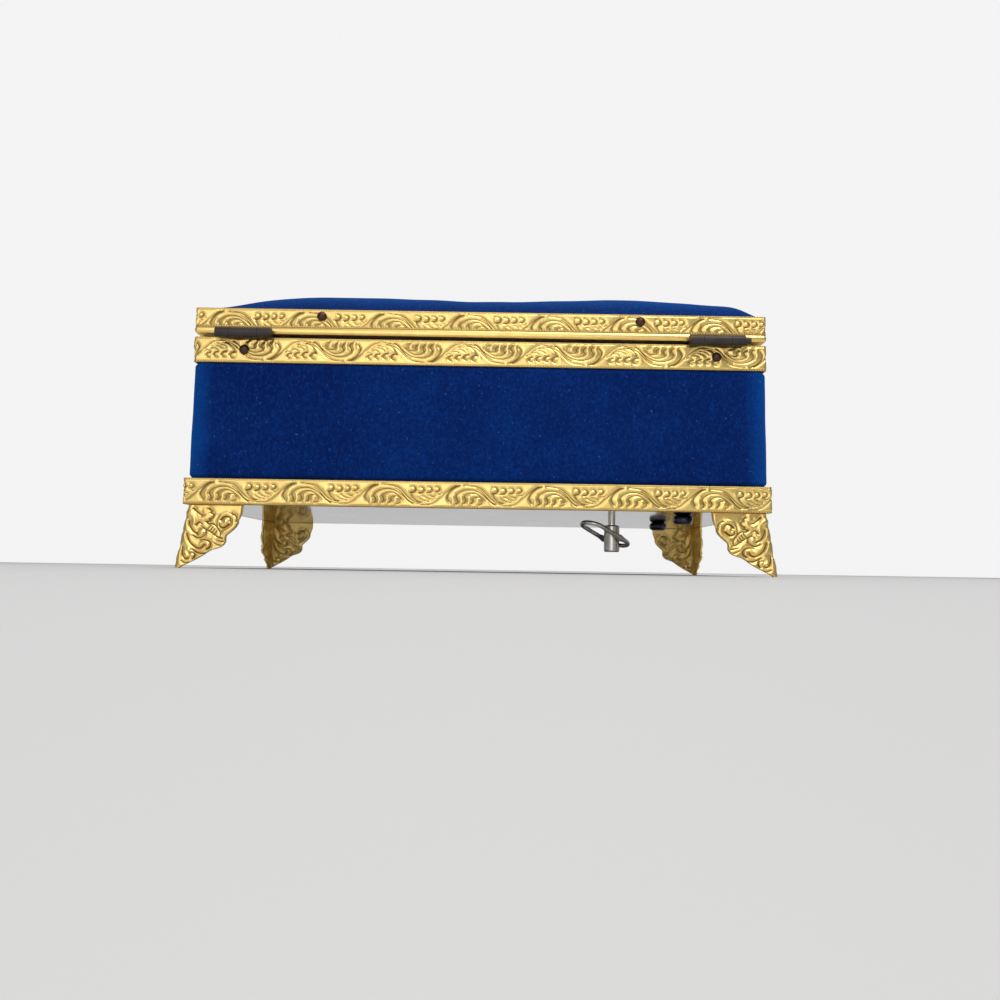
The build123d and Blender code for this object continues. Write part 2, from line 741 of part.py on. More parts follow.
governor_wheel_y = fly_y - wheel_thick / 2
with BuildPart() as governor_wheel:
    arbor_front = front_leg_y + bearing_thick / 2
    arbor_length = wheel_rear - arbor_front
    rod(cylinder_arbor_radius, arbor_length, governor_x, arbor_front, cylinder_z, (0, 1, 0))
    pinion_plane = Plane(origin=(governor_x, wheel_front, cylinder_z), z_dir=(0, 1, 0))
    toothed_disc(governor_pinion_radius, governor_pinion_teeth, wheel_thick, pinion_plane)
    wheel_plane = Plane(origin=(governor_x, governor_wheel_y, cylinder_z), z_dir=(0, 1, 0))
    toothed_disc(governor_wheel_radius, governor_wheel_teeth, wheel_thick, wheel_plane)
save(governor_wheel, "governor_wheel")

z_fly = z_bed + rest_gap
z_brake = z_fly + fly_height
z_frame_top = cylinder_z + governor_wheel_radius + frame_gap
with BuildPart() as governor_fly:
    fly_low = z_floor + arbor_end_gap
    fly_length = z_frame_top + bearing_thick - arbor_end_gap - fly_low
    rod(stop_rod_radius, fly_length, fly_x, fly_y, fly_low, (0, 0, 1))
    rod(cylinder_arbor_radius, bed_thick, fly_x, fly_y, fly_low, (0, 0, 1))
    half_blade = fly_blade_thick / 2
    blade_low = (fly_x - fly_radius, fly_y - half_blade, z_fly)
    block(blade_low, (fly_x + fly_radius, fly_y + half_blade, z_brake))
    rod(brake_disc_radius, brake_thick, fly_x, fly_y, z_brake, (0, 0, 1))
    worm_length = 2 * (governor_wheel_radius - worm_margin)
    rod(worm_radius, worm_length, fly_x, fly_y, cylinder_z - worm_length / 2, (0, 0, 1))
save(governor_fly, "governor_fly")

with BuildPart() as governor_frame:
    arm_low_x = fly_x - bearing_half_width
    arm_high_x = fly_x + bearing_half_width
    z_arm = z_frame_top + bearing_thick
    block((governor_x - ear_half_width, front_leg_y, z_bed), (arm_high_x, front_leg_y + bearing_thick, z_arm))
    block((arm_low_x, rear_leg_y, z_bed), (arm_high_x, rear_leg_y + bearing_thick, z_arm))
    block((arm_low_x, front_leg_y, z_frame_top), (arm_high_x, rear_leg_y + bearing_thick, z_arm))
    drill(cylinder_arbor_radius + run_gap, bearing_thick, governor_x, front_leg_y, cylinder_z, (0, 1, 0))
    drill(stop_rod_radius + run_gap, bearing_thick, fly_x, fly_y, z_frame_top, (0, 0, 1))
    drill(stop_rod_radius + run_gap, bearing_thick, stop_rod_x, stop_rod_y, z_frame_top, (0, 0, 1))
save(governor_frame, "governor_frame")

with BuildPart() as comb:
    block((comb_left, cylinder_front, comb_low_z), (comb_right, cylinder_rear, comb_low_z + comb_thick))
    for row in range(comb_tooth_count - 1):
        slot_y = cylinder_front + music_pin_margin + (row + 0.5) * row_pitch - comb_tooth_gap / 2
        slot_low = (comb_left + comb_base, slot_y, comb_low_z)
        block(slot_low, (comb_right, slot_y + comb_tooth_gap, comb_low_z + comb_thick), Mode.SUBTRACT)
    for x, y in comb_screw_places:
        drill(comb_screw_radius + run_gap, comb_thick, x, y, comb_low_z, (0, 0, 1))
save(comb, "comb")

with BuildPart() as comb_screws:
    for x, y in comb_screw_places:
        shank = comb_thick + comb_screw_length - fit_gap
        rod(comb_screw_radius, shank, x, y, comb_low_z + comb_thick, (0, 0, -1))
        rod(comb_screw_head, comb_screw_radius, x, y, comb_low_z + comb_thick, (0, 0, 1))
save(comb_screws, "comb_screws")

# Stop rod: the shut lid holds it down, and its finger then brakes the fly
z_finger = z_brake + brake_thick + rest_gap
with BuildPart() as stop_rod:
    stop_rod_top = z_lining_low - rest_gap
    rod(stop_rod_radius, stop_rod_top - z_finger, stop_rod_x, stop_rod_y, z_finger, (0, 0, 1))
    finger_low = (stop_rod_x - stop_rod_radius, fly_y + brake_disc_radius - finger_overlap, z_finger)
    block(finger_low, (stop_rod_x + stop_rod_radius, stop_rod_y, z_finger + finger_thick))
save(stop_rod, "stop_rod")

# Winding arbor and the folding key below the box
z_key_pin = z_base - key_pin_place
tilt = radians(key_ring_tilt)
turn = radians(key_ring_turn)
pin_way = (-sin(turn), cos(turn), 0)
ring_way = (cos(tilt) * cos(turn), cos(tilt) * sin(turn), sin(tilt))
ring_up = (-sin(tilt) * cos(turn), -sin(tilt) * sin(turn), cos(tilt))


def along_pin(distance):
    """Gives the point of the key's cross pin at a distance from the arbor."""
    return arbor_x + distance * pin_way[0], arbor_y + distance * pin_way[1], z_key_pin


with BuildPart() as winding_arbor:
    arbor_low = z_base - arbor_drop
    rod(arbor_radius, z_bridge + bearing_thick - arbor_low, arbor_x, arbor_y, arbor_low, (0, 0, 1))
save(winding_arbor, "winding_arbor")

with BuildPart() as key_hub:
    hub_low = z_base - key_hub_top - key_hub_length
    rod(key_hub_radius, key_hub_length, arbor_x, arbor_y, hub_low, (0, 0, 1))
    fillet(key_hub.edges().filter_by(GeomType.CIRCLE), radius=key_hub_round)
    drill(arbor_radius + run_gap, key_hub_length, arbor_x, arbor_y, arbor_low, (0, 0, 1))
    drill(key_pin_radius + run_gap, 2 * key_hub_radius, *along_pin(-key_hub_radius), pin_way)
save(key_hub, "key_hub")

with BuildPart() as key_pin:
    rod(key_pin_radius, key_ring_width, *along_pin(-key_ring_width / 2), pin_way)
save(key_pin, "key_pin")

ring_plane = Plane(origin=along_pin(0), x_dir=ring_way, z_dir=ring_up)
with BuildPart() as key_ring:
    with BuildSketch(ring_plane):
        with Locations((key_ring_length / 2 - key_ring_short_end, 0)):
            SlotOverall(key_ring_length, key_ring_width)
            inner_length = key_ring_length - 2 * key_ring_wire
            SlotOverall(inner_length, key_ring_width - 2 * key_ring_wire, mode=Mode.SUBTRACT)
    extrude(amount=key_ring_wire / 2, both=True)
    for ear in (-key_ring_width / 2, key_ring_width / 2 - key_ring_wire):
        rod(key_ear_radius, key_ring_wire, *along_pin(ear), pin_way)
    drill(key_pin_radius + run_gap, key_ring_width, *along_pin(-key_ring_width / 2), pin_way)
save(key_ring, "key_ring")
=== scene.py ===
"""Looks of the footed musical jewelry box: gilt stamped bands, velvet, satin linings and the works.

Sizes are millimetres until a mesh is made, which is in metres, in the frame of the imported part.
"""

import json
import logging
import math
from dataclasses import dataclass, field
from enum import Enum

import bpy
import numpy as np
from mathutils import Matrix, Vector

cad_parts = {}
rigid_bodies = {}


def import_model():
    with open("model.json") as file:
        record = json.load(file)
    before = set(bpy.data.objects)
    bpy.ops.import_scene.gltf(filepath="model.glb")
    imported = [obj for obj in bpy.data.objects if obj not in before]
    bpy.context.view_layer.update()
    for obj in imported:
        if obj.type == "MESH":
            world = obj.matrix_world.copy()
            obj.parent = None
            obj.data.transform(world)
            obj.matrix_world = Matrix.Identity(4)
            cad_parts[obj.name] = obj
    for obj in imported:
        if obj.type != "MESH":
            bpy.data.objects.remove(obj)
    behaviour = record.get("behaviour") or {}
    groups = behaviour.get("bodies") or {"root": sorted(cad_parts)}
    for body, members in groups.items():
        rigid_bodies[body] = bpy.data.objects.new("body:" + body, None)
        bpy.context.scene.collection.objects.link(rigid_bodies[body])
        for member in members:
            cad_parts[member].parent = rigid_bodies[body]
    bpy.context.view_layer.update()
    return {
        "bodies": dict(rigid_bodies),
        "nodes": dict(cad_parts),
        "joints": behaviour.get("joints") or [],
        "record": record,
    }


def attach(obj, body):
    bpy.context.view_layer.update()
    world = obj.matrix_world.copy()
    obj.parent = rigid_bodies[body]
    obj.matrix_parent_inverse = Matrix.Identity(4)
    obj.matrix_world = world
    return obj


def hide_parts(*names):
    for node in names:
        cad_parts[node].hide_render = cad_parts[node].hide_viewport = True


LOG = logging.getLogger("jewelry_box")
MM = 0.001
# The point attribute of how deep in a groove a point lies; the gilt darkens it as painted shade and roughens
# it.
HOLLOW = "hollow"
MARK_SCALE = 900.0
ROLLS = 5
FIRST_ROLL_X = -77.6
ROLL_PITCH = 10.4
Array = np.ndarray


# Shader expressions


class Signal:
    """A shader socket with arithmetic: each operator adds one Math node."""

    def __init__(self, graph: "Graph", socket: bpy.types.NodeSocket) -> None:
        """Wraps a socket of a graph."""
        self.graph = graph
        self.socket = socket

    def _math(self, operation: str, *values: "Signal | float") -> "Signal":
        """Adds a Math node over these values and returns its result."""
        inputs = dict(enumerate(values))
        return self.graph.node("ShaderNodeMath", {"operation": operation}, inputs)

    def __add__(self, other: "Signal | float") -> "Signal":
        """Sum."""
        return self._math("ADD", self, other)

    __radd__ = __add__

    def __rsub__(self, other: float) -> "Signal":
        """Difference from a number."""
        return self._math("SUBTRACT", other, self)

    def __mul__(self, other: "Signal | float") -> "Signal":
        """Product."""
        return self._math("MULTIPLY", self, other)

    def over(self, edge: float, soft: float) -> "Signal":
        """Rises from 0 to 1 across an edge.

        Args:
            edge: The value at which the result is one half.
            soft: The width over which it rises.

        Returns:
            The clamped ramp.
        """
        settings = {"clamp": True}
        limits = {0: self, 1: edge - soft / 2, 2: edge + soft / 2}
        return self.graph.node("ShaderNodeMapRange", settings, limits)


class Graph:
    """The node tree of one material, with its Principled shader."""

    def __init__(self, name: str) -> None:
        """Makes an empty material with a Principled shader and an output."""
        self.material = bpy.data.materials.new(name)
        self.material.use_nodes = True
        self.tree = self.material.node_tree
        self.tree.nodes.clear()
        self.shader = self.tree.nodes.new("ShaderNodeBsdfPrincipled")
        output = self.tree.nodes.new("ShaderNodeOutputMaterial")
        self.tree.links.new(self.shader.outputs[0], output.inputs["Surface"])
        self.place = self.node("ShaderNodeTexCoord", {}, {}, "Object")

    def _plug(self, socket: bpy.types.NodeSocket, value: "Signal | float | tuple") -> None:
        """Links a signal to a socket, or writes a value on it."""
        if isinstance(value, Signal):
            self.tree.links.new(value.socket, socket)
        else:
            socket.default_value = value

    def node(self, kind: str, settings: dict, inputs: dict, output: "int | str" = 0) -> Signal:
        """Adds one node.

        Args:
            kind: The node's type.
            settings: Attributes set before the inputs.
            inputs: Values or signals by socket name or number.
            output: The socket whose signal is returned.

        Returns:
            The signal of that output.
        """
        made = self.tree.nodes.new(kind)
        for key, value in settings.items():
            setattr(made, key, value)
        for key, value in inputs.items():
            self._plug(made.inputs[key], value)
        return Signal(self, made.outputs[output])

    def noise(self, scale: float, detail: float = 3.0, rough: float = 0.5) -> Signal:
        """Fractal noise over object coordinates; scale is per metre."""
        inputs = {"Vector": self.place, "Scale": scale, "Detail": detail, "Roughness": rough}
        return self.node("ShaderNodeTexNoise", {}, inputs)

    def grained(self, stretch: tuple[float, float, float], scale: float, detail: float) -> Signal:
        """Fractal noise that runs long on the axes with a small stretch, as threads and fibres do."""
        place = self.node("ShaderNodeMapping", {}, {"Vector": self.place, "Scale": stretch})
        return self.node("ShaderNodeTexNoise", {}, {"Vector": place, "Scale": scale, "Detail": detail})

    def coordinate(self, axis: str) -> Signal:
        """Gives one object coordinate in metres."""
        return self.node("ShaderNodeSeparateXYZ", {}, {"Vector": self.place}, axis)

    def mix(self, mask: "Signal | float", low: "Signal | tuple", high: "Signal | tuple") -> Signal:
        """Mixes two colours by a mask."""
        settings = {"data_type": "RGBA"}
        return self.node("ShaderNodeMix", settings, {0: mask, 6: low, 7: high}, 2)

    def bump(self, height: Signal, depth: float, strength: float = 1.0) -> Signal:
        """A normal bent by a height signal; depth is in metres."""
        inputs = {"Height": height, "Distance": depth, "Strength": strength}
        return self.node("ShaderNodeBump", {}, inputs)

    def finish(self, **sockets: "Signal | float | tuple") -> bpy.types.Material:
        """Writes the shader's sockets, underscores for spaces, and returns the material."""
        for name, value in sockets.items():
            self._plug(self.shader.inputs[name.replace("_", " ")], value)
        return self.material


Colour = tuple[float, float, float, float]
Place = tuple[float, float]


def tone(red: float, green: float, blue: float) -> Colour:
    """An opaque colour in linear light."""
    return (red, green, blue, 1.0)


@dataclass(frozen=True)
class GiltFinish:
    """Bright gilt on stamped metal, with painted shade darkening the grooves."""

    name: str
    bright: Colour = tone(1.0, 0.73, 0.25)
    dull: Colour = tone(0.86, 0.55, 0.17)
    # The colour of the painted shade laid into the grooves.
    groove: Colour = tone(0.11, 0.052, 0.010)
    roughness: float = 0.27
    grain_depth: float = 0.00003

    def material(self) -> bpy.types.Material:
        """Makes the gilt: grooves are rough and darkened with painted shade, and wear and a fine grain break
        the gloss.
        """
        graph = Graph(self.name)
        groove_and_shade = graph.node("ShaderNodeAttribute", {"attribute_name": HOLLOW}, {}, "Fac").over(0.46, 0.6)
        wear = graph.noise(260.0, 4.0, 0.6)
        grain = graph.noise(2600.0, 2.0, 0.5)
        patched = graph.mix(wear.over(0.55, 0.35) * 0.55, self.bright, self.dull)
        # Painted shade: the grooves are darkened towards the groove colour.
        colour = graph.mix(groove_and_shade * 0.92, patched, self.groove)
        rough = self.roughness + wear * 0.14 + groove_and_shade * 0.25
        normal = graph.bump(grain, self.grain_depth, 0.6)
        return graph.finish(Base_Color=colour, Metallic=1.0, Roughness=rough, Normal=normal)


@dataclass(frozen=True)
class VelvetFinish:
    """Cotton velvet: a deep pile colour with a paler sheen where the pile leans, and a painted highlight at
    the wrap's corners and on the pad's crown.
    """

    name: str
    deep: Colour = tone(0.0001, 0.012, 0.105)
    lean: Colour = tone(0.0010, 0.047, 0.275)
    # The paler colour of the painted highlight at the corners and on the crown.
    open: Colour = tone(0.0016, 0.10, 0.46)
    lint: Colour = tone(0.08, 0.20, 0.45)
    sheen_tint: Colour = tone(0.02, 0.30, 1.0)
    sheen: float = 0.42

    def material(self) -> bpy.types.Material:
        """Makes the velvet: brushed patches, tufts, a painted highlight at the corners and on the crown,
        sparse pale lint.
        """
        graph = Graph(self.name)
        brushed = graph.noise(30.0, 6.0, 0.65)
        tufts = graph.noise(900.0, 4.0, 0.75)
        pile = graph.grained((1.0, 1.0, 0.62), 1500.0, 2.0)
        lint = graph.grained((1.0, 0.25, 1.0), 1100.0, 2.0).over(0.722, 0.04)
        base = graph.mix(brushed.over(0.50, 0.34) * 0.8, self.deep, self.lean)
        tufted = graph.mix(tufts.over(0.50, 0.30) * 0.8, self.deep, base)
        combed = graph.mix(pile.over(0.60, 0.25) * 0.5, tufted, self.lean)
        # Painted highlight: the colour is lightened towards the open colour at the wrap's vertical corners
        # and on the top of the pad, where light grazes the pile.
        aside, behind, above = graph.coordinate("X"), graph.coordinate("Y"), graph.coordinate("Z")
        beside_end = (aside * aside + brushed * 0.0006).over(0.0076, 0.0012)
        corner_highlight = beside_end * (behind * behind).over(0.00195, 0.0005) * 0.55
        crown_highlight = above.over(0.086, 0.006) * 0.4
        highlighted = graph.mix(corner_highlight + crown_highlight, combed, self.open)
        speckled = graph.mix(lint * 0.6, highlighted, self.lint)
        normal = graph.bump(tufts + pile, 0.00045, 0.8)
        return graph.finish(
            Base_Color=speckled,
            Roughness=0.92,
            Normal=normal,
            Sheen_Weight=self.sheen,
            Sheen_Roughness=0.32,
            Sheen_Tint=self.sheen_tint,
            Specular_IOR_Level=0.1,
        )


@dataclass(frozen=True)
class SatinFinish:
    """Woven satin with a soft gloss along its threads."""

    name: str
    colour: Colour = tone(0.035, 0.12, 0.46)
    shade: Colour = tone(0.012, 0.05, 0.25)

    def material(self) -> bpy.types.Material:
        """Makes the satin: fine threads in one direction and slow shading in the folds."""
        graph = Graph(self.name)
        along = graph.grained((1.0, 0.08, 1.0), 5200.0, 1.0)
        fold = graph.noise(55.0, 3.0, 0.5)
        colour = graph.mix(fold.over(0.5, 0.5) * 0.7, self.colour, self.shade)
        normal = graph.bump(along, 0.00006, 0.5)
        rough = 0.36 + along * 0.12
        return graph.finish(
            Base_Color=colour, Roughness=rough, Normal=normal, Sheen_Weight=0.35, Sheen_Roughness=0.3
        )


@dataclass(frozen=True)
class MetalFinish:
    """A plain metal with brush marks, stains and handling marks."""

    name: str
    colour: Colour
    stain: Colour
    roughness: float
    metallic: float = 1.0
    coat: float = 0.0

    def material(self) -> bpy.types.Material:
        """Makes the metal: stains shift its colour and fine marks its gloss."""
        graph = Graph(self.name)
        stain = graph.noise(210.0, 4.0, 0.6)
        marks = graph.grained((1.0, 1.0, 6.0), MARK_SCALE, 3.0)
        colour = graph.mix(stain.over(0.55, 0.35) * 0.55, self.colour, self.stain)
        rough = self.roughness + marks * 0.16
        normal = graph.bump(marks, 0.00002, 0.5)
        return graph.finish(
            Base_Color=colour, Metallic=self.metallic, Roughness=rough, Normal=normal, Coat_Weight=self.coat
        )


@dataclass(frozen=True)
class BoardFinish:
    """Paper-covered board: flat colour broken by fibres and scuffs."""

    name: str
    colour: Colour
    fibre: Colour
    roughness: float = 0.78
    coat: float = 0.0

    def material(self) -> bpy.types.Material:
        """Makes the board: long fibres, scuffs and a slight tooth."""
        graph = Graph(self.name)
        fibres = graph.grained((0.15, 1.0, 1.0), 1500.0, 4.0)
        scuff = graph.noise(70.0, 5.0, 0.65).over(0.62, 0.2)
        colour = graph.mix(fibres.over(0.5, 0.4) * 0.6, self.colour, self.fibre)
        scuffed = graph.mix(scuff * 0.25, colour, self.fibre)
        normal = graph.bump(fibres, 0.00008 * (1.0 - self.coat), 0.5)
        rough = self.roughness - scuff * 0.12
        return graph.finish(
            Base_Color=scuffed, Roughness=rough, Normal=normal, Coat_Weight=self.coat, Coat_Roughness=0.06
        )


@dataclass(frozen=True)
class MirrorFinish:
    """Silvered glass with a faint haze."""

    name: str

    def material(self) -> bpy.types.Material:
        """Makes the mirror: nearly perfect, with a little haze and a few dust marks."""
        graph = Graph(self.name)
        haze = graph.noise(120.0, 4.0, 0.6)
        return graph.finish(
            Base_Color=tone(0.88, 0.91, 0.92), Metallic=1.0, Roughness=0.03 + haze.over(0.62, 0.3) * 0.05
        )


class Finish(Enum):
    """Every finish on the box, by its use."""

    GILT = GiltFinish("gilt")
    VELVET = VelvetFinish("velvet_pile")
    SATIN = SatinFinish("satin_weave")
    BARREL = MetalFinish("dark_barrel", tone(0.075, 0.062, 0.055), tone(0.035, 0.028, 0.025), 0.42, 0.75)
    NAIL = MetalFinish("bronzed_nail", tone(0.10, 0.052, 0.033), tone(0.035, 0.022, 0.016), 0.30, 0.8)
    BLUED = MetalFinish("blued_screw", tone(0.02, 0.03, 0.055), tone(0.006, 0.008, 0.016), 0.12, 0.85, 0.6)
    NICKEL = MetalFinish("nickel", tone(0.68, 0.66, 0.61), tone(0.36, 0.33, 0.28), 0.16)
    CAST = MetalFinish("cast_plate", tone(0.50, 0.50, 0.48), tone(0.30, 0.29, 0.27), 0.38)
    BRASS = MetalFinish("turned_brass", tone(0.72, 0.52, 0.20), tone(0.42, 0.28, 0.10), 0.24)
    STEEL = MetalFinish("ground_steel", tone(0.46, 0.46, 0.47), tone(0.25, 0.25, 0.26), 0.26)
    PANEL = BoardFinish("lacquered_panel", tone(0.018, 0.012, 0.009), tone(0.035, 0.025, 0.018), 0.16, 1.0)
    BOARD = BoardFinish("raw_board", tone(0.33, 0.30, 0.26), tone(0.45, 0.42, 0.37))
    MIRROR = MirrorFinish("silvered_glass")

    def material(self) -> bpy.types.Material:
        """Gives the finish's material, made once."""
        found = bpy.data.materials.get(self.value.name)
        return found or self.value.material()


# Meshes from grids


def grid_faces(rows: int, columns: int, wrap_rows: bool, wrap_columns: bool) -> Array:
    """Quads over a grid of points, rows by columns, closed on itself where asked.

    Args:
        rows: Points across the rows.
        columns: Points along each row.
        wrap_rows: Whether the last row joins the first.
        wrap_columns: Whether the last column joins the first.

    Returns:
        Quads as point numbers, facing along rows x columns.
    """
    row = np.arange(rows if wrap_rows else rows - 1)
    column = np.arange(columns if wrap_columns else columns - 1)
    a, b = np.meshgrid(row, column, indexing="ij")
    down, right = (a + 1) % rows, (b + 1) % columns
    quads = np.stack([a * columns + b, down * columns + b, down * columns + right, a * columns + right], -1)
    return quads.reshape(-1, 4)


def surface(
    name: str, points: Array, faces: Array, finish: Finish, body: str, hollow: Array | None = None
) -> bpy.types.Object:
    """Makes one smooth piece from points in millimetres and dresses it.

    Args:
        name: The piece's name.
        points: Points as rows of x, y, z in millimetres.
        faces: Quads or triangles as point numbers.
        finish: Its finish.
        body: The body that it rides on.
        hollow: How far each point lies in a groove, from 0 to 1, which the gilt darkens as painted shade.

    Returns:
        The new object.
    """
    mesh = bpy.data.meshes.new(name)
    sides = faces.shape[1]
    mesh.vertices.add(len(points))
    mesh.vertices.foreach_set("co", (points * MM).astype(np.float32).ravel())
    mesh.loops.add(faces.size)
    mesh.loops.foreach_set("vertex_index", faces.astype(np.int32).ravel())
    mesh.polygons.add(len(faces))
    mesh.polygons.foreach_set("loop_start", np.arange(0, faces.size, sides, dtype=np.int32))
    mesh.polygons.foreach_set("use_smooth", np.ones(len(faces), bool))
    mesh.update(calc_edges=True)
    if hollow is not None:
        layer = mesh.attributes.new(HOLLOW, "FLOAT", "POINT")
        layer.data.foreach_set("value", hollow.astype(np.float32).ravel())
    mesh.materials.append(finish.material())
    piece = bpy.data.objects.new(name, mesh)
    bpy.context.scene.collection.objects.link(piece)
    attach(piece, body)
    LOG.info("%s: %d faces", name, len(faces))
    return piece


def smooth_step(value: Array) -> Array:
    """Rises from 0 to 1 with level ends."""
    clear = np.clip(value, 0, 1)
    return clear * clear * (3 - 2 * clear)


def bell(distance: Array, width: "float | Array") -> Array:
    """The bell curve: e to the minus square of the distance over the width."""
    return np.exp(-((distance / width) ** 2))


def rounded(to_edge: Array, radius: float, least: float = 0.0) -> Array:
    """A quarter circle's height, as a share of its radius, at each distance from its edge."""
    return np.sqrt(np.clip(1 - (1 - np.clip(to_edge / radius, 0, 1)) ** 2, least, 1))


# Stamped relief


def smooth_line(*knots: Place, steps: int = 6) -> Array:
    """Points on the Catmull-Rom curve through these knots."""
    given = np.array(knots, float)
    ends = np.concatenate([2 * given[:1] - given[1:2], given, 2 * given[-1:] - given[-2:-1]])
    share = np.linspace(0, 1, steps, endpoint=False)[:, None]
    pieces = []
    for a, b, c, d in zip(ends, ends[1:], ends[2:], ends[3:]):
        bend = (2 * a - 5 * b + 4 * c - d) * share**2 + (3 * b - a - 3 * c + d) * share**3
        pieces.append((2 * b + (c - a) * share + bend) / 2)
    return np.concatenate(pieces + [given[-1:]])


@dataclass
class Stroke:
    """One curve of the relief with a half width that goes from its start to its end."""

    path: Array
    start: float
    end: float
    height: float = 1.0


@dataclass
class Relief:
    """A stamped pattern over a strip, in millimetres: swelling ground with grooves cut and beads raised.

    The ground swells with the distance from the nearest groove, a groove falls below it as a narrow bell,
    and a bump stands over it as one less the square of the distance over its half width.
    """

    width: float
    height: float
    step: float = 0.07
    wraps: bool = True
    swell: float = 0.55
    ground: float = 0.25
    swell_share: float = 0.45
    cut_share: float = 0.42
    groove_reach: float = 1.9
    bump_reach: float = 1.0
    bead: float = 0.02
    grooves: list[Stroke] = field(default_factory=list)
    bumps: list[Stroke] = field(default_factory=list)

    def groove(self, *knots: Place, width: float = 0.17, end: float = 0.10) -> None:
        """Cuts a groove through these knots."""
        self.grooves.append(Stroke(smooth_line(*knots), width, end))

    def bump(self, *knots: Place, width: float = 0.6, end: float = 0.4, height: float = 0.5) -> None:
        """Raises a rounded ridge through these knots, or a bead on one."""
        knots = knots if len(knots) > 1 else (knots[0], (knots[0][0] + self.bead, knots[0][1]))
        self.bumps.append(Stroke(smooth_line(*knots), width, end, height))

    def grids(self) -> tuple[Array, Array]:
        """Computes the height, about 0 to 1, and how much of each point lies in a groove."""
        along = np.arange(0, self.width, self.step)
        up = np.arange(0, self.height + self.step, self.step)
        swelling = np.ones((len(up), len(along)))
        cut = np.zeros_like(swelling)
        raised = np.zeros_like(swelling)
        for shift in (-self.width, 0.0, self.width) if self.wraps else (0.0,):
            for stroke in self.grooves:
                window, gap, half = self._near(stroke, shift, along, up, self.groove_reach)
                if window:
                    swelling[window] = np.minimum(swelling[window], 1 - bell(gap, self.swell))
                    cut[window] = np.maximum(cut[window], bell(gap, half))
            for stroke in self.bumps:
                window, gap, half = self._near(stroke, shift, along, up, self.bump_reach)
                if window:
                    ridge = stroke.height * np.clip(1 - (gap / half) ** 2, 0, 1)
                    raised[window] = np.maximum(raised[window], ridge)
        pressed = self.ground + self.swell_share * swelling - self.cut_share * cut
        return pressed + raised * (1 - 0.6 * cut), cut

    def _near(
        self, stroke: Stroke, shift: float, along: Array, up: Array, reach: float
    ) -> tuple[tuple[Array, Array] | None, Array, Array]:
        """Measures each point near a stroke.

        Args:
            stroke: The stroke.
            shift: How far the stroke is moved along the strip.
            along: Places of the columns.
            up: Heights of the rows.
            reach: How far from the stroke points are measured.

        Returns:
            The window of rows and columns, the distance to the stroke and its half width there.
        """
        path = stroke.path + np.array([shift, 0.0])
        low, high = path.min(0) - reach, path.max(0) + reach
        columns = np.where((along >= low[0]) & (along <= high[0]))[0]
        rows = np.where((up >= low[1]) & (up <= high[1]))[0]
        if not len(columns) or not len(rows):
            return None, np.zeros(0), np.zeros(0)
        there = np.stack(np.meshgrid(along[columns], up[rows]), -1)
        start, span = path[:-1], np.diff(path, axis=0)
        length = (span**2).sum(-1) + 1e-9
        share = np.clip(((there[:, :, None] - start) * span).sum(-1) / length, 0, 1)
        gaps = np.linalg.norm(there[:, :, None] - start - share[..., None] * span, axis=-1)
        nearest = gaps.argmin(-1)
        half = np.linspace(stroke.start, stroke.end, len(path))
        return np.ix_(rows, columns), gaps.min(-1), half[nearest]


def sample(heights: Array, step: float, along: Array, up: Array, wraps: bool) -> Array:
    """Reads a map between its points, straight along both directions."""
    column, row = along / step, np.clip(up / step, 0, heights.shape[0] - 1.001)
    left, low = np.floor(column).astype(int), np.floor(row).astype(int)
    right_share, up_share = column - left, row - low
    count = heights.shape[1]
    if wraps:
        left, right = left % count, (left + 1) % count
    else:
        left = np.clip(left, 0, count - 1)
        right = np.clip(left + 1, 0, count - 1)
    bottom = heights[low, left] * (1 - right_share) + heights[low, right] * right_share
    top = heights[low + 1, left] * (1 - right_share) + heights[low + 1, right] * right_share
    return bottom * (1 - up_share) + top * up_share


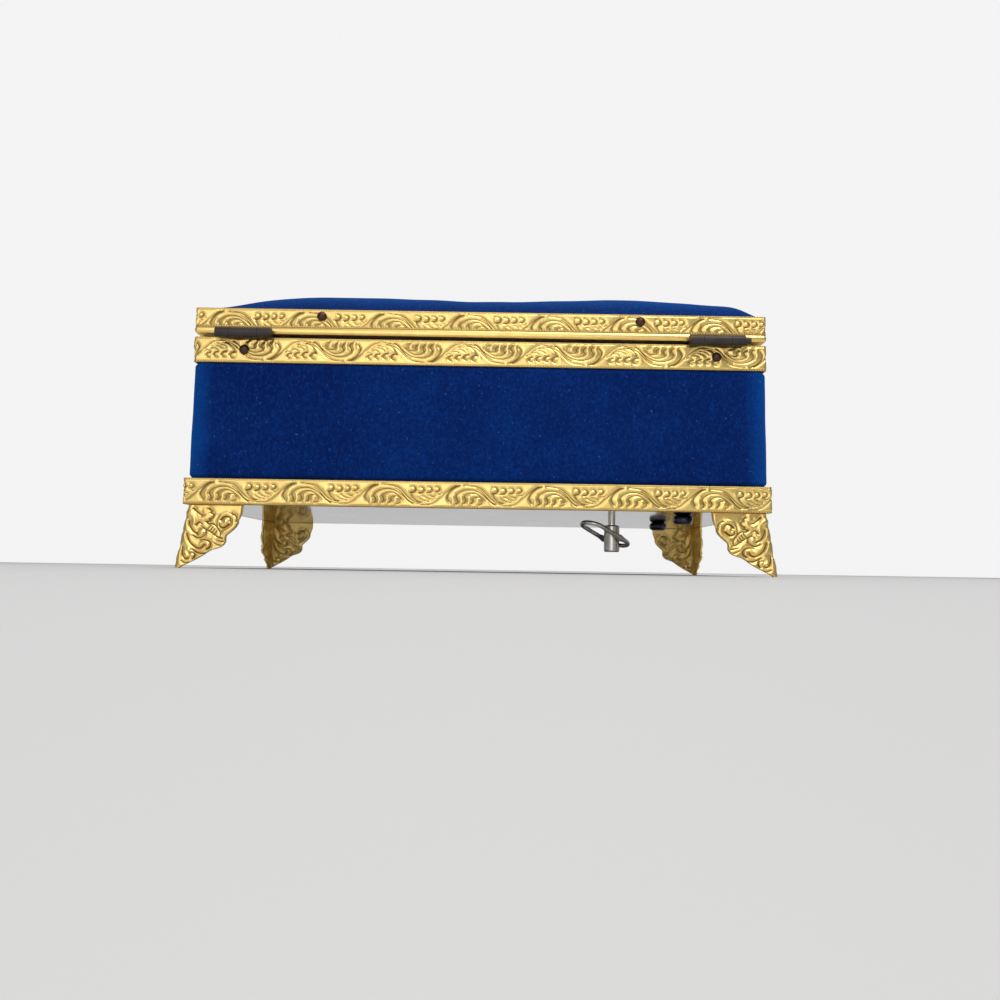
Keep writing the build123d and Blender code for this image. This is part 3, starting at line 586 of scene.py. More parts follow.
def strip_relief() -> Relief:
    """The running scroll of all three bands: a fan of nested leaves, a trough and four hooked beads.

    Places run along the strip from the first leaf and up from its lower edge. The top band shows the
    strip with its foot rolled over, and the middle band shows it turned upside down.
    """
    relief = Relief(25.0, 8.08)
    groove, bump = relief.groove, relief.bump
    groove((0.9, 1.8), (0.45, 2.5), (0.1, 3.3), (0.45, 4.4), (1.5, 5.6), (2.6, 6.4), (3.8, 6.9),
           width=0.15, end=0.24)
    groove((2.9, 1.3), (3.4, 2.0), (3.2, 2.8), (2.8, 3.5), (3.3, 4.5), (4.6, 5.25), (6.3, 5.65),
           (8.2, 5.5), (9.9, 4.9), (11.4, 3.8), (12.9, 2.5), width=0.22, end=0.10)
    groove((5.2, 1.5), (5.8, 2.2), (5.7, 3.0), (5.35, 3.6), (6.2, 4.3), (7.4, 4.6), (8.8, 4.5),
           (10.4, 3.6), (11.9, 2.4), width=0.22, end=0.10)
    groove((7.5, 1.5), (8.05, 2.2), (8.05, 3.0), (8.7, 3.4), (9.8, 3.45), (10.9, 2.8), (11.6, 2.0),
           width=0.22, end=0.09)
    groove((9.8, 1.1), (10.7, 1.5), (11.0, 2.2), (10.7, 2.6), width=0.16, end=0.08)
    groove((5.6, 7.05), (8.2, 6.75), (10.2, 6.1), (11.6, 4.9), (12.8, 3.6), (14.0, 2.6), (15.4, 1.9),
           (17.0, 1.5), width=0.12, end=0.12)
    groove((9.4, 5.9), (10.8, 5.0), (12.2, 3.4), (13.3, 2.1), (14.6, 1.2), width=0.10, end=0.22)
    groove((14.2, 4.3), (14.5, 3.4), (15.3, 2.5), (16.5, 1.8), (18.2, 1.6), width=0.14, end=0.09)
    groove((14.8, 1.5), (16.6, 1.15), (18.6, 0.9), (20.1, 1.15), (21.5, 1.9), (22.8, 3.0), (24.1, 4.1),
           (25.3, 5.1), (26.6, 6.2), (28.0, 7.0), width=0.10, end=0.15)
    groove((16.7, 3.1), (17.7, 2.4), (19.3, 2.0), (20.6, 2.2), width=0.10, end=0.07)
    groove((17.6, 3.7), (18.9, 2.9), (20.5, 2.6), (21.5, 3.0), width=0.10, end=0.07)
    groove((19.6, 4.0), (20.6, 3.4), (22.0, 3.6), width=0.10, end=0.07)
    groove((22.0, 4.4), (22.9, 4.1), (23.6, 4.6), width=0.09, end=0.07)
    for place, level, size in ((14.7, 5.55, 1.0), (17.3, 5.35, 0.92), (19.8, 5.45, 0.84), (22.2, 5.6, 0.76)):
        hook = [(place - 0.75 * size, level - 1.0 * size), (place + 0.3 * size, level - 0.75 * size)]
        hook += [(place + 0.85 * size, level - 0.05), (place + 0.45 * size, level + 0.75 * size)]
        hook += [(place - 0.4 * size, level + 0.95 * size)]
        groove(*hook, width=0.26 * size, end=0.12)
        bump((place - 0.05, level + 0.05), width=0.85 * size, height=0.42)
    for foot, size in ((1.9, 0.95), (4.45, 0.85), (6.9, 0.75), (9.4, 0.62)):
        leaf_tip = (foot + 0.5, 4.3 * size + 0.4)
        bump((foot, 1.5), (foot + 0.15, 2.4), (foot - 0.1, 3.3), leaf_tip, width=0.75, end=0.45, height=0.34)
    bump((16.0, 3.9), (16.9, 3.0), (18.4, 2.5), width=0.5, end=0.35, height=0.22)
    bump((12.9, 5.6), (13.3, 4.3), (14.4, 2.9), width=0.6, end=0.3, height=0.16)
    return relief


def foot_relief() -> Relief:
    """The scrolls of one wing of a foot.

    Places run in from the spine and down from the top. A large volute fills the upper inner corner over
    a lobed leaf, and three smaller ones follow the slanting lower edge, each on its own long stem.
    """
    relief = Relief(19.5, 18.7, step=0.08, wraps=False, swell=0.75)
    groove, bump = relief.groove, relief.bump
    groove((13.6, 1.9), (14.9, 2.5), (15.6, 3.5), (15.8, 4.5), width=0.20, end=0.16)
    groove((10.9, 3.9), (11.5, 3.1), (12.6, 2.9), (13.5, 3.5), (13.7, 4.4), width=0.34, end=0.14)
    groove((13.5, 5.3), (12.9, 5.9), (12.0, 6.3), (11.0, 6.0), (10.6, 5.0), width=0.40, end=0.14)
    groove((9.9, 3.0), (9.7, 4.4), (10.2, 6.4), (11.4, 7.7), (11.6, 9.0), width=0.14, end=0.12)
    groove((1.8, 0.5), (2.9, 1.4), (4.4, 2.4), (5.1, 2.5), width=0.26, end=0.14)
    groove((6.4, 0.4), (7.4, 1.2), (7.3, 1.8), (8.2, 2.3), (8.1, 3.3), (7.3, 3.7), (7.6, 4.3), (6.3, 4.5),
           width=0.20, end=0.20)
    groove((6.4, 4.6), (7.4, 5.2), (8.4, 5.1), (9.4, 5.6), (10.6, 6.7), (11.2, 7.6), width=0.24, end=0.14)
    groove((5.3, 5.9), (7.0, 6.9), (8.7, 7.8), (10.8, 9.1), (12.2, 9.5), width=0.14, end=0.20)
    for index in range(4):
        across, down = 8.0 + 0.75 * index, 5.6 + 0.55 * index
        middle, tip = (across - 0.35, down + 0.75), (across - 0.95, down + 1.25)
        groove((across, down), middle, tip, width=0.16, end=0.09)
    groove((1.2, 4.3), (1.9, 5.9), (3.1, 7.4), (4.7, 8.3), width=0.24, end=0.26)
    groove((3.6, 5.6), (4.3, 4.7), (5.2, 5.1), width=0.26, end=0.16)
    groove((4.6, 7.3), (5.2, 6.6), (6.2, 6.6), (7.0, 7.3), (7.1, 8.2), (6.5, 9.0), (5.4, 9.5), (4.4, 9.3),
           (3.5, 8.8), width=0.12, end=0.22)
    groove((1.5, 8.2), (2.1, 9.5), (3.0, 10.9), (4.4, 12.0), (5.7, 12.6), (6.9, 12.3), (7.4, 11.5),
           width=0.20, end=0.26)
    groove((5.7, 10.1), (7.1, 10.0), (8.5, 10.4), (9.3, 11.3), (9.2, 12.2), (8.4, 12.9), width=0.16, end=0.30)
    groove((4.1, 13.0), (5.4, 13.7), (7.0, 14.2), (8.3, 14.1), width=0.22, end=0.22)
    groove((0.8, 12.2), (1.3, 13.8), (1.9, 15.1), (2.7, 15.8), (3.5, 15.6), width=0.20, end=0.22)
    groove((3.2, 13.9), (4.6, 14.0), (5.3, 14.8), (4.9, 15.8), width=0.14, end=0.30)
    groove((1.8, 16.6), (2.8, 17.1), (4.0, 16.9), width=0.20, end=0.12)
    for across, down in ((12.9, 9.9), (12.9, 11.2), (11.8, 12.1)):
        middle = ((9.6 + across) / 2, (9.9 + down) / 2 + 0.2)
        bump((9.6, 9.9), middle, (across, down), width=0.35, end=0.75, height=0.35)
    groove((10.6, 10.1), (11.7, 10.4), (13.1, 10.6), width=0.12, end=0.18)
    groove((10.2, 10.9), (11.1, 11.4), (12.2, 11.8), width=0.12, end=0.18)
    bump((10.4, 3.2), (12.2, 2.0), (14.5, 2.9), (15.2, 5.2), (13.6, 7.0), (11.9, 8.2), (11.9, 9.3),
         width=0.9, end=0.6, height=0.34)
    bump((10.3, 4.0), (10.7, 5.2), (11.9, 5.6), (12.6, 4.9), (12.3, 4.3), width=0.7, end=0.4, height=0.40)
    for across, down in ((3.4, 0.9), (5.6, 0.8), (6.9, 1.9), (7.2, 3.2)):
        middle = ((4.9 + across) * 0.5, 2.9 + down * 0.2)
        bump((4.7, 4.8), middle, (across, down), width=0.6, end=0.8, height=0.22)
    bump((0.4, 1.6), (2.0, 2.5), (3.0, 4.2), (3.3, 5.8), width=0.9, end=0.6, height=0.42)
    bump((0.4, 4.3), (1.3, 6.6), (3.0, 8.4), (4.8, 9.1), (6.0, 8.4), (5.9, 7.6), (5.0, 7.8),
         width=0.6, end=0.5, height=0.34)
    bump((0.8, 8.4), (2.2, 11.0), (4.3, 12.7), (6.7, 13.3), (8.5, 12.3), (8.3, 11.0), (7.1, 10.8),
         (6.3, 11.6), width=0.6, end=0.5, height=0.34)
    bump((2.3, 9.0), (3.7, 10.7), (5.4, 11.6), width=0.6, end=0.4, height=0.25)
    bump((2.9, 12.6), (4.6, 14.6), (6.9, 15.1), width=0.6, end=0.5, height=0.3)
    bump((3.0, 14.9), width=1.0, height=0.35)
    bump((0.5, 13.5), (0.9, 15.6), (2.0, 17.5), width=0.7, end=0.7, height=0.25)
    return relief


# Rounded rectangles and bands


@dataclass
class Outline:
    """A rounded rectangle sampled round its edge from the rear +X corner towards -X."""

    half_x: float
    half_y: float
    radius: float
    step: float = 0.27

    def __post_init__(self) -> None:
        """Samples the anchor points, outward directions and lengths along the edge."""
        flat_x, flat_y = self.half_x - self.radius, self.half_y - self.radius
        corners = np.array([[flat_x, flat_y], [-flat_x, flat_y], [-flat_x, -flat_y], [flat_x, -flat_y]])
        anchors, turns, places = [], [], []
        start = 0.0
        arc = self.radius * np.pi / 2
        for side in range(4):
            here, there = corners[side], corners[(side + 1) % 4]
            length = float(np.linalg.norm(there - here))
            facing = np.pi / 2 * (1 + side)
            count = max(int(round(length / self.step)), 2)
            share = np.linspace(0, 1, count, endpoint=False)
            anchors.append(here + share[:, None] * (there - here))
            turns.append(np.full(count, facing))
            places.append(start + share * length)
            start += length
            bends = max(int(round(arc / self.step)), 5)
            share = np.linspace(0, 1, bends, endpoint=False)
            anchors.append(np.repeat(there[None], bends, 0))
            turns.append(facing + share * np.pi / 2)
            places.append(start + share * arc)
            start += arc
        self.anchor = np.concatenate(anchors)
        self.turn = np.concatenate(turns)
        self.place = np.concatenate(places)
        self.length = start
        self.out = np.stack([np.cos(self.turn), np.sin(self.turn)], -1)

    def ring(self, inset: "float | Array") -> Array:
        """Points of the edge moved inwards, by one inset or by one for each point."""
        inset = np.broadcast_to(np.asarray(inset, float), self.place.shape)[:, None]
        reach = np.maximum(self.radius - inset, 0.02)
        past = np.maximum(inset - self.radius, 0.0)
        limit = np.array([self.half_x - self.radius, self.half_y - self.radius]) - past
        return np.clip(self.anchor, -limit, limit) + reach * self.out


def band_mesh(outline: Outline, rows: list[tuple["float | Array", "float | Array"]]) -> tuple[Array, Array]:
    """Sweeps a closed cross-section round an outline.

    Args:
        outline: The edge to follow.
        rows: Inset and height of each row, going round the cross-section anticlockwise.

    Returns:
        Points and quads.
    """
    rings = []
    for inset, height in rows:
        level = np.broadcast_to(np.asarray(height, float), outline.place.shape)
        rings.append(np.concatenate([outline.ring(inset), level[:, None]], -1))
    return np.concatenate(rings), grid_faces(len(rows), len(outline.place), True, True)[:, ::-1]


class Lip(Enum):
    """The edge of a band that has a lip turned in."""

    NONE = "none"
    TOP = "top"
    BOTTOM = "bottom"


@dataclass
class StampedBand:
    """One gilt strip round the box with a relief pressed from inside.

    The relief stands out from a face that lies `rest` inside the outline. It fades into a milled line at
    both edges, and on the lid its lowest part is rolled to a plain half round.
    """

    name: str
    node: str
    body: str
    half_x: float
    half_y: float
    low: float
    relief: Relief
    shift: float
    thick: float
    lip: Lip
    stamped_low: float = 0.0
    upside_down: bool = False
    lip_width: float = 4.4
    height: float = 8.08
    corner: float = 0.9
    depth: float = 0.46
    lip_thick: float = 0.6
    rope_pitch: float = 0.81
    rope_width: float = 0.55
    rope_slant: float = 0.9
    rope_least: float = 0.1
    roll_bulge: float = 0.55
    roll_sink: float = 0.35
    rest: float = 0.40
    lip_start: float = 1.2
    roll_row: float = 0.26
    stamped_row: float = 0.235
    fade: float = 0.25

    def rope(self, up: Array, place: Array) -> Array:
        """Height of the milled lines at both edges of the stamped face."""
        slanted = place[None, :] - self.rope_slant * up[:, None]
        twist = 0.5 + 0.5 * np.cos(2 * np.pi * slanted / self.rope_pitch)
        half = self.rope_width / 2
        edge = np.zeros_like(up)
        for centre in (self.stamped_low + half, self.height - half):
            edge = np.maximum(edge, np.clip(1 - (np.abs(up - centre) / half) ** 2, 0, 1))
        return edge[:, None] * (self.rope_least + (1 - self.rope_least) * twist)

    def face(self, outline: Outline) -> tuple[Array, Array, Array]:
        """Heights up the band, the outward relief of each row of the outer face, and its grooves, which carry
        the painted shade.
        """
        roll_rows = int(self.stamped_low / self.roll_row)
        stamped_rows = int((self.height - self.stamped_low) / self.stamped_row)
        roll = np.linspace(0.02, self.stamped_low, roll_rows, endpoint=False)
        stamped = np.linspace(self.stamped_low + 0.02, self.height - 0.05, stamped_rows)
        up = np.concatenate([roll, stamped])
        along, level = (outline.place - self.shift) % self.relief.width, up
        if self.upside_down:
            along, level = (self.shift - outline.place) % self.relief.width, self.height - up
        heights, cuts = self.relief.grids()
        place = (self.relief.step, along[None, :], level[:, None], True)
        picture, cut = sample(heights, *place), sample(cuts, *place)
        edge = self.rope_width * 0.8
        low_fade = smooth_step((up - self.stamped_low - edge) / self.fade)
        inside = (low_fade * smooth_step((self.height - edge - up) / self.fade))[:, None]
        raised = picture * inside + self.rope(up, outline.place) * (1 - inside)
        # Painted shade: the low parts of the milled lines get a groove value, so the gilt darkens them.
        cut = cut * inside + (1 - inside) * np.clip(0.9 - 1.3 * raised, 0, 0.75)
        if roll_rows:
            half = self.stamped_low / 2
            bulge = np.sqrt(np.clip(1 - ((up - half) / half) ** 2, 0, 1))[:, None]
            rolled = (up < self.stamped_low)[:, None]
            raised = np.where(rolled, self.roll_bulge / self.depth * bulge - self.roll_sink, raised)
            cut = np.where(rolled, 0.0, cut)
        return up, raised, cut

    def build(self) -> None:
        """Makes the band and puts it in place of its plain strip."""
        outline = Outline(self.half_x, self.half_y, self.corner)
        up, raised, cut = self.face(outline)
        rows = [(self.rest - self.depth * relief, self.low + height) for height, relief in zip(up, raised)]
        top, bottom, turned = self.low + self.height, self.low, self.rest + 0.1
        upper, lower = [(self.thick, top)], [(self.thick, bottom)]
        if self.lip is Lip.TOP:
            level = top - self.lip_thick
            upper = [(self.lip_start, top), (self.lip_width, top)]
            upper += [(self.lip_width, level), (self.thick, level)]
        if self.lip is Lip.BOTTOM:
            level = bottom + self.lip_thick
            lower = [(self.thick, level), (self.lip_width, level)]
            lower += [(self.lip_width, bottom), (self.lip_start, bottom)]
        inside = [(turned, top), *upper, *lower, (turned, bottom)]
        points, faces = band_mesh(outline, rows + inside)
        hollow = np.concatenate([cut.ravel(), np.zeros(len(inside) * len(outline.place))])
        piece = surface(self.name, points, faces, Finish.GILT, self.body, hollow)
        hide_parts(self.node)


# Feet


@dataclass
class Foot:
    """One corner foot: two scalloped wings with pressed scrolls that meet in a sloping spine.

    Both sides of the metal follow the relief, the inner one less. The edge is rounded as a quarter circle.
    """

    name: str
    node: str
    side_x: int
    side_y: int
    corner_x: float = 88.7
    corner_y: float = 47.4
    top: float = 18.65
    rise: float = 0.66
    flare: float = 2.4
    thick: float = 0.7
    spine_radius: float = 1.7
    depth: float = 0.62
    sink: float = 0.50
    inner_share: float = 0.6
    edge_radius: float = 0.5
    edge_sink: float = 0.35

    def edge(self, down: Array) -> Array:
        """Reach of the scalloped inner edge from the spine at these depths."""
        knots = ((0, 16.6), (1.5, 16.7), (3.0, 16.4), (4.0, 16.1), (5.0, 16.2), (6.0, 15.8), (7.0, 15.0),
                 (8.0, 14.0), (8.6, 13.4), (9.5, 13.4), (10.5, 13.6), (11.5, 13.2), (12.2, 12.4),
                 (12.7, 11.1), (13.1, 9.8), (14.0, 8.5), (15.0, 7.3), (16.0, 5.7), (17.0, 3.9), (18.0, 2.1),
                 (18.65, 1.2))
        depth, reach = np.array(knots).T
        return np.interp(down, depth, reach)

    def build(self) -> None:
        """Makes the foot as one closed shell and puts it in place of its plain wings."""
        rows, half = 94, 66
        down = np.linspace(-self.rise, self.top, rows)
        across = np.linspace(-1, 1, 2 * half + 1)
        reach = self.edge(down)[:, None]
        place = across[None, :] * reach
        depth = down[:, None] + 0 * place
        relief = foot_relief()
        heights, cuts = relief.grids()
        here = (relief.step, np.abs(place), depth, False)
        cut = sample(cuts, *here)
        rounding = rounded((1 - np.abs(across[None, :])) * reach, self.edge_radius)
        raised = sample(heights, *here) * rounding - self.edge_sink * (1 - rounding)
        arc = self.spine_radius * np.pi / 2
        outer = self._wall(place, depth, -self.sink + self.depth * raised, arc)
        behind = self.inner_share * self.depth * raised - self.sink - self.thick
        inner = self._wall(place, depth, behind, arc)
        loop = np.concatenate([outer, inner[:, ::-1]], axis=1)
        middle = (outer + inner) / 2
        middle = np.concatenate([middle, middle[:, ::-1]], axis=1)
        points = np.concatenate([middle[:1], loop, middle[-1:]]).reshape(-1, 3)
        # Painted shade for the gilt: the grooves of the outer face at full strength, those of the inner face
        # fainter.
        groove_shade = np.concatenate([cut, cut[:, ::-1] * 0.4 + 0.08], axis=1)
        hollow = np.concatenate([groove_shade[:1] * 0, groove_shade, groove_shade[-1:] * 0])
        faces = grid_faces(rows + 2, loop.shape[1], False, True)
        mirror = np.array([self.side_x, self.side_y, 1.0])
        if self.side_x * self.side_y < 0:
            faces = faces[:, ::-1]
        piece = surface(self.name, points * mirror, faces, Finish.GILT, "case", hollow)
        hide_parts(self.node)

    def _wall(self, place: Array, depth: Array, out: Array, arc: float) -> Array:
        """Puts points of the wings in space, moved out of the wall by a distance."""
        lean = self.flare * depth / self.top
        corner = np.stack([self.corner_x + lean, self.corner_y + lean], -1) - self.spine_radius
        turn = np.clip(place / arc, -0.5, 0.5) * np.pi / 2 + np.pi / 4
        straight = np.maximum(np.abs(place) - arc / 2, 0)
        away = np.stack([np.cos(turn), np.sin(turn)], -1)
        back = np.stack([np.where(place > 0, -straight, 0), np.where(place < 0, -straight, 0)], -1)
        flat = corner + back + away * np.maximum(self.spine_radius + out, 0.05)[..., None]
        return np.concatenate([flat, (self.top - depth)[..., None]], -1)


# Velvet, pads and rolls


def wander(first: Array, second: Array, size: float, seed: float) -> Array:
    """A slow wavy field of sines over two coordinates, from -1 to 1; size is its wavelength."""
    a, b = first / size * 2 * np.pi, second / size * 2 * np.pi
    total = np.sin(a + seed) * np.cos(0.8 * b - 1.7 * seed) + 0.6 * np.sin(1.9 * a + 1.3 * b + 2.1 * seed)
    return (total + 0.4 * np.cos(3.1 * b - 2.3 * a + 0.7 * seed)) / 2.0


@dataclass
class VelvetWrap:
    """The velvet glued round the four walls, drawn over their corners."""

    half_x: float = 88.25
    half_y: float = 46.95
    corner: float = 2.0
    low: float = 22.5
    high: float = 71.0
    bare_low: float = 27.43
    bare_high: float = 63.57
    pile: float = 0.75
    tuck: float = 1.3
    thick: float = 0.62
    step: float = 1.2
    rows: int = 64

    def build(self) -> None:
        """Makes the wrap as one sleeve whose pile swells between the bands and is pressed flat under them."""
        outline = Outline(self.half_x, self.half_y, self.corner, self.step)
        share = 0.5 - 0.5 * np.cos(np.linspace(0, np.pi, self.rows))
        bare = self.bare_low + share * (self.bare_high - self.bare_low)
        levels = np.concatenate([[self.low], bare, [self.high]])
        rows = []
        for level in levels:
            to_band = min(level - self.bare_low, self.bare_high - level)
            swell = float(smooth_step(np.array(to_band / self.tuck)))
            wave = 0.12 * wander(outline.place, np.full_like(outline.place, level), 46.0, 0.4)
            rows.append((0.02 - swell * (self.pile + wave), level))
        rows += [(self.thick, self.high), (self.thick, self.low)]
        points, faces = band_mesh(outline, rows)
        piece = surface("velvet_wrap", points, faces, Finish.VELVET, "case")
        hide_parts("velvet_cover")


@dataclass
class LidPad:
    """The padded velvet top of the lid: two low crowns with a slight dip between them."""

    half_x: float = 88.0
    half_y: float = 46.7
    corner: float = 2.2
    low: float = 80.0
    edge: float = 80.93
    crown: float = 13.3
    fullness: float = 4.0
    soft_end: float = 9.9
    firm_end: float = 2.2
    flat: float = 0.8
    low_crown: tuple[float, float, float] = (0.099, 47.4, 35.0)
    high_crown: tuple[float, float, float] = (0.151, -44.8, 25.7)
    softness: float = 0.16

    def build(self) -> None:
        """Makes the pad as a closed pillow and puts it in place of the plain one."""
        across = np.sin(np.linspace(-np.pi / 2, np.pi / 2, 221))
        along = np.sin(np.linspace(-np.pi / 2, np.pi / 2, 341))
        x, y = np.meshgrid(along * self.half_x, across * self.half_y, indexing="ij")
        past = np.stack([np.abs(x) - self.half_x + self.corner, np.abs(y) - self.half_y + self.corner], -1)
        both = (past > 0).all(-1)
        length = np.linalg.norm(past, axis=-1) + 1e-9
        pull = np.where(both, past.max(-1) / length, 1.0)[..., None]
        moved = np.where(both[..., None], past * pull, past)
        x = np.sign(x) * (moved[..., 0] + self.half_x - self.corner)
        y = np.sign(y) * (moved[..., 1] + self.half_y - self.corner)
        height = self.height(x, y, moved, both)
        top = np.stack([x, y, height], -1)
        bottom = np.stack([x, y, np.full_like(x, self.low)], -1)
        points, faces = pillow(top, bottom)
        piece = surface("velvet_pad", points, faces, Finish.VELVET, "lid")
        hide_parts("lid_pad")

    def height(self, x: Array, y: Array, past: Array, at_corner: Array) -> Array:
        """The level of the top: steep at the edge, flat in the middle, with two crowns.

        Each crown is a bell along x, given by its share of the rise, its middle and its width.
        """
        to_arc = self.corner - np.linalg.norm(past, axis=-1)
        inside = np.where(at_corner, to_arc, self.corner - past.max(-1))
        rise = 1 - np.clip(np.abs(y) / self.half_y, 0, 1) ** self.fullness
        soft_end = 1 - np.exp(-(self.half_x - x) / self.soft_end)
        firm_end = 1 - np.exp(-(self.half_x + x) / self.firm_end)
        both = (self.low_crown, self.high_crown)
        crowns = [share * bell(x - middle, width) for share, middle, width in both]
        soft = self.softness * wander(x, y, 38.0, 1.1) * smooth_step(inside / 10)
        return self.edge + self.crown * rise * soft_end * firm_end * (self.flat + sum(crowns)) + soft


def pillow(top: Array, bottom: Array) -> tuple[Array, Array]:
    """Joins two grids over the same outline into one closed form.

    Args:
        top: Upper points, rows by columns by 3, rows along +X and columns along +Y.
        bottom: Lower points in the same order.

    Returns:
        Points and quads facing out.
    """
    rows, columns = top.shape[:2]
    upper = grid_faces(rows, columns, False, False)
    lower = upper[:, ::-1] + rows * columns
    number = np.arange(rows * columns).reshape(rows, columns)
    loop = np.concatenate([number[:-1, 0], number[-1, :-1], number[:0:-1, -1], number[0, :0:-1]])
    following = np.roll(loop, -1)
    shift = rows * columns
    sides = np.stack([loop + shift, following + shift, following, loop], -1)
    points = np.concatenate([top.reshape(-1, 3), bottom.reshape(-1, 3)])
    return points, np.concatenate([upper, lower, sides])


@dataclass
class RingRoll:
    """One padded satin roll of the ring tray."""

    index: int
    middle: float
    low: float = 50.5
    half_width: float = 4.98
    height: float = 7.9
    half_length: float = 39.9
    end_radius: float = 3.2
    squareness: float = 0.72

    def build(self) -> None:
        """Makes the roll as a closed bolster, drawn in at both ends.

        Its section is a circle whose sine and cosine are raised to a power below one, so it is squarer.
        """
        rows = np.linspace(-1, 1, 71)
        along = np.sin(rows * np.pi / 2) * self.half_length
        drawn = rounded(self.half_length - np.abs(along), self.end_radius, 0.0004)
        turn = np.linspace(0, 2 * np.pi, 48, endpoint=False)
        wide = np.sign(np.cos(turn)) * np.abs(np.cos(turn)) ** self.squareness * self.half_width
        tall = np.sign(np.sin(turn)) * np.abs(np.sin(turn)) ** self.squareness * self.height / 2
        wave = 0.98 + 0.02 * wander(along[:, None] + 13.0 * self.index, turn[None, :] * 6, 26.0, self.index)
        x = self.middle + wide[None, :] * drawn[:, None] * wave
        drawn_tall = ((0.55 + 0.45 * drawn) * np.minimum(drawn * 3, 1))[:, None]
        z = self.low + self.height / 2 + tall[None, :] * drawn_tall * wave
        y = np.repeat(along[:, None], len(turn), 1)
        points = np.stack([x, y, z], -1).reshape(-1, 3)
        faces = grid_faces(len(rows), len(turn), False, True)
        piece = surface(f"roll_{self.index}", points, faces, Finish.SATIN, "case")
        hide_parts(f"ring_roll_{self.index}")


def rectangle_loop(half_x: float, half_y: float, count: int) -> Array:
    """Points round a rectangle, as many on each side, from its rear +X corner towards -X."""
    corners = np.array([[half_x, half_y], [-half_x, half_y], [-half_x, -half_y], [half_x, -half_y]])
    share = np.linspace(0, 1, count, endpoint=False)[:, None]
    ends = zip(corners, np.roll(corners, -1, 0))
    return np.concatenate([here + share * (there - here) for here, there in ends])


@dataclass
class LidLining:
    """The padded satin frame round the mirror in the lid, with mitred corners and soft gathers.

    Between its outer and inner edge the face hangs down as one less a power of the distance from the middle.
    """

    outer_x: float = 84.3
    outer_y: float = 43.0
    inner_x: float = 59.15
    inner_y: float = 27.15
    top: float = 73.42
    edge: float = 72.45
    fullness: float = 0.95
    power: float = 2.6
    gather: float = 0.16

    def build(self) -> None:
        """Makes the frame as one closed ring and puts it in place of the plain lining."""
        count, rows = 150, 25
        outer = rectangle_loop(self.outer_x, self.outer_y, count)
        inner = rectangle_loop(self.inner_x, self.inner_y, count)
        across = (0.5 - 0.5 * np.cos(np.linspace(0, np.pi, rows)))[:, None]
        place = np.arange(4 * count)[None, :] / 1.6
        pull = 1 - np.abs(2 * across - 1) ** self.power
        hang = pull * (self.fullness + self.gather * wander(place + 9 * across, 20 * across, 19.0, 0.9))
        flat = outer[None] * (1 - across[..., None]) + inner[None] * across[..., None]
        under = np.concatenate([flat, (self.edge - hang)[..., None]], -1)
        over = np.concatenate([flat, np.full(flat.shape[:2] + (1,), self.top)], -1)[::-1]
        points = np.concatenate([under, over]).reshape(-1, 3)
        faces = grid_faces(2 * rows, 4 * count, True, True)
        piece = surface("padded_lining", points, faces, Finish.SATIN, "lid")
        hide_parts("lid_lining")


# Key


@dataclass
class KeyLoop:
    """The folding ring of the winding key: one rounded oval wire with thicker ears at the pin."""

    arbor_x: float = -43.75
    arbor_y: float = 27.7
    pin_z: float = 11.85
    tilt: float = 20.7
    turn: float = 40.0
    length: float = 20.8
    width: float = 9.0
    wire: float = 1.4
    short_end: float = 7.05
    ear_width: float = 1.3
    ear_share: float = 0.55

    def build(self) -> None:
        """Makes the wire as a closed loop round a slot."""
        radius = self.width / 2 - self.wire / 2
        low, high = -self.short_end + self.width / 2, self.length - self.short_end - self.width / 2
        bend = np.linspace(-np.pi / 2, np.pi / 2, 32)
        far = np.stack([high + radius * np.cos(bend), radius * np.sin(bend)], -1)
        near = np.stack([low - radius * np.cos(bend), -radius * np.sin(bend)], -1)
        flat = np.linspace(0, 1, 26)[1:-1, None]
        there, back = far[-1] + flat * (near[0] - far[-1]), near[-1] + flat * (far[0] - near[-1])
        path = np.concatenate([far, there, near, back])
        ahead = np.roll(path, -1, 0) - np.roll(path, 1, 0)
        ahead /= np.linalg.norm(ahead, axis=1, keepdims=True)
        side = np.stack([ahead[:, 1], -ahead[:, 0]], -1)
        round_wire = np.linspace(0, 2 * np.pi, 18, endpoint=False)
        half = self.wire / 2
        thick = half * (1 + self.ear_share * bell(path[:, 0], self.ear_width))
        flat_ring = np.cos(round_wire)[None, :, None] * half * side[:, None] + path[:, None]
        up = np.sin(round_wire)[None, :] * thick[:, None]
        tilt, turn = math.radians(self.tilt), math.radians(self.turn)
        level = flat_ring[..., 0] * math.cos(tilt) - up * math.sin(tilt)
        x = self.arbor_x + level * math.cos(turn) - flat_ring[..., 1] * math.sin(turn)
        y = self.arbor_y + level * math.sin(turn) + flat_ring[..., 1] * math.cos(turn)
        z = self.pin_z + flat_ring[..., 0] * math.sin(tilt) + up * math.cos(tilt)
        points = np.stack([x, y, z], -1).reshape(-1, 3)
        faces = grid_faces(len(path), len(round_wire), True, True)[:, ::-1]
        piece = surface("key_wire", points, faces, Finish.NICKEL, "key_loop")
        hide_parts("key_ring")


# Finishes of the pieces that keep their own shape


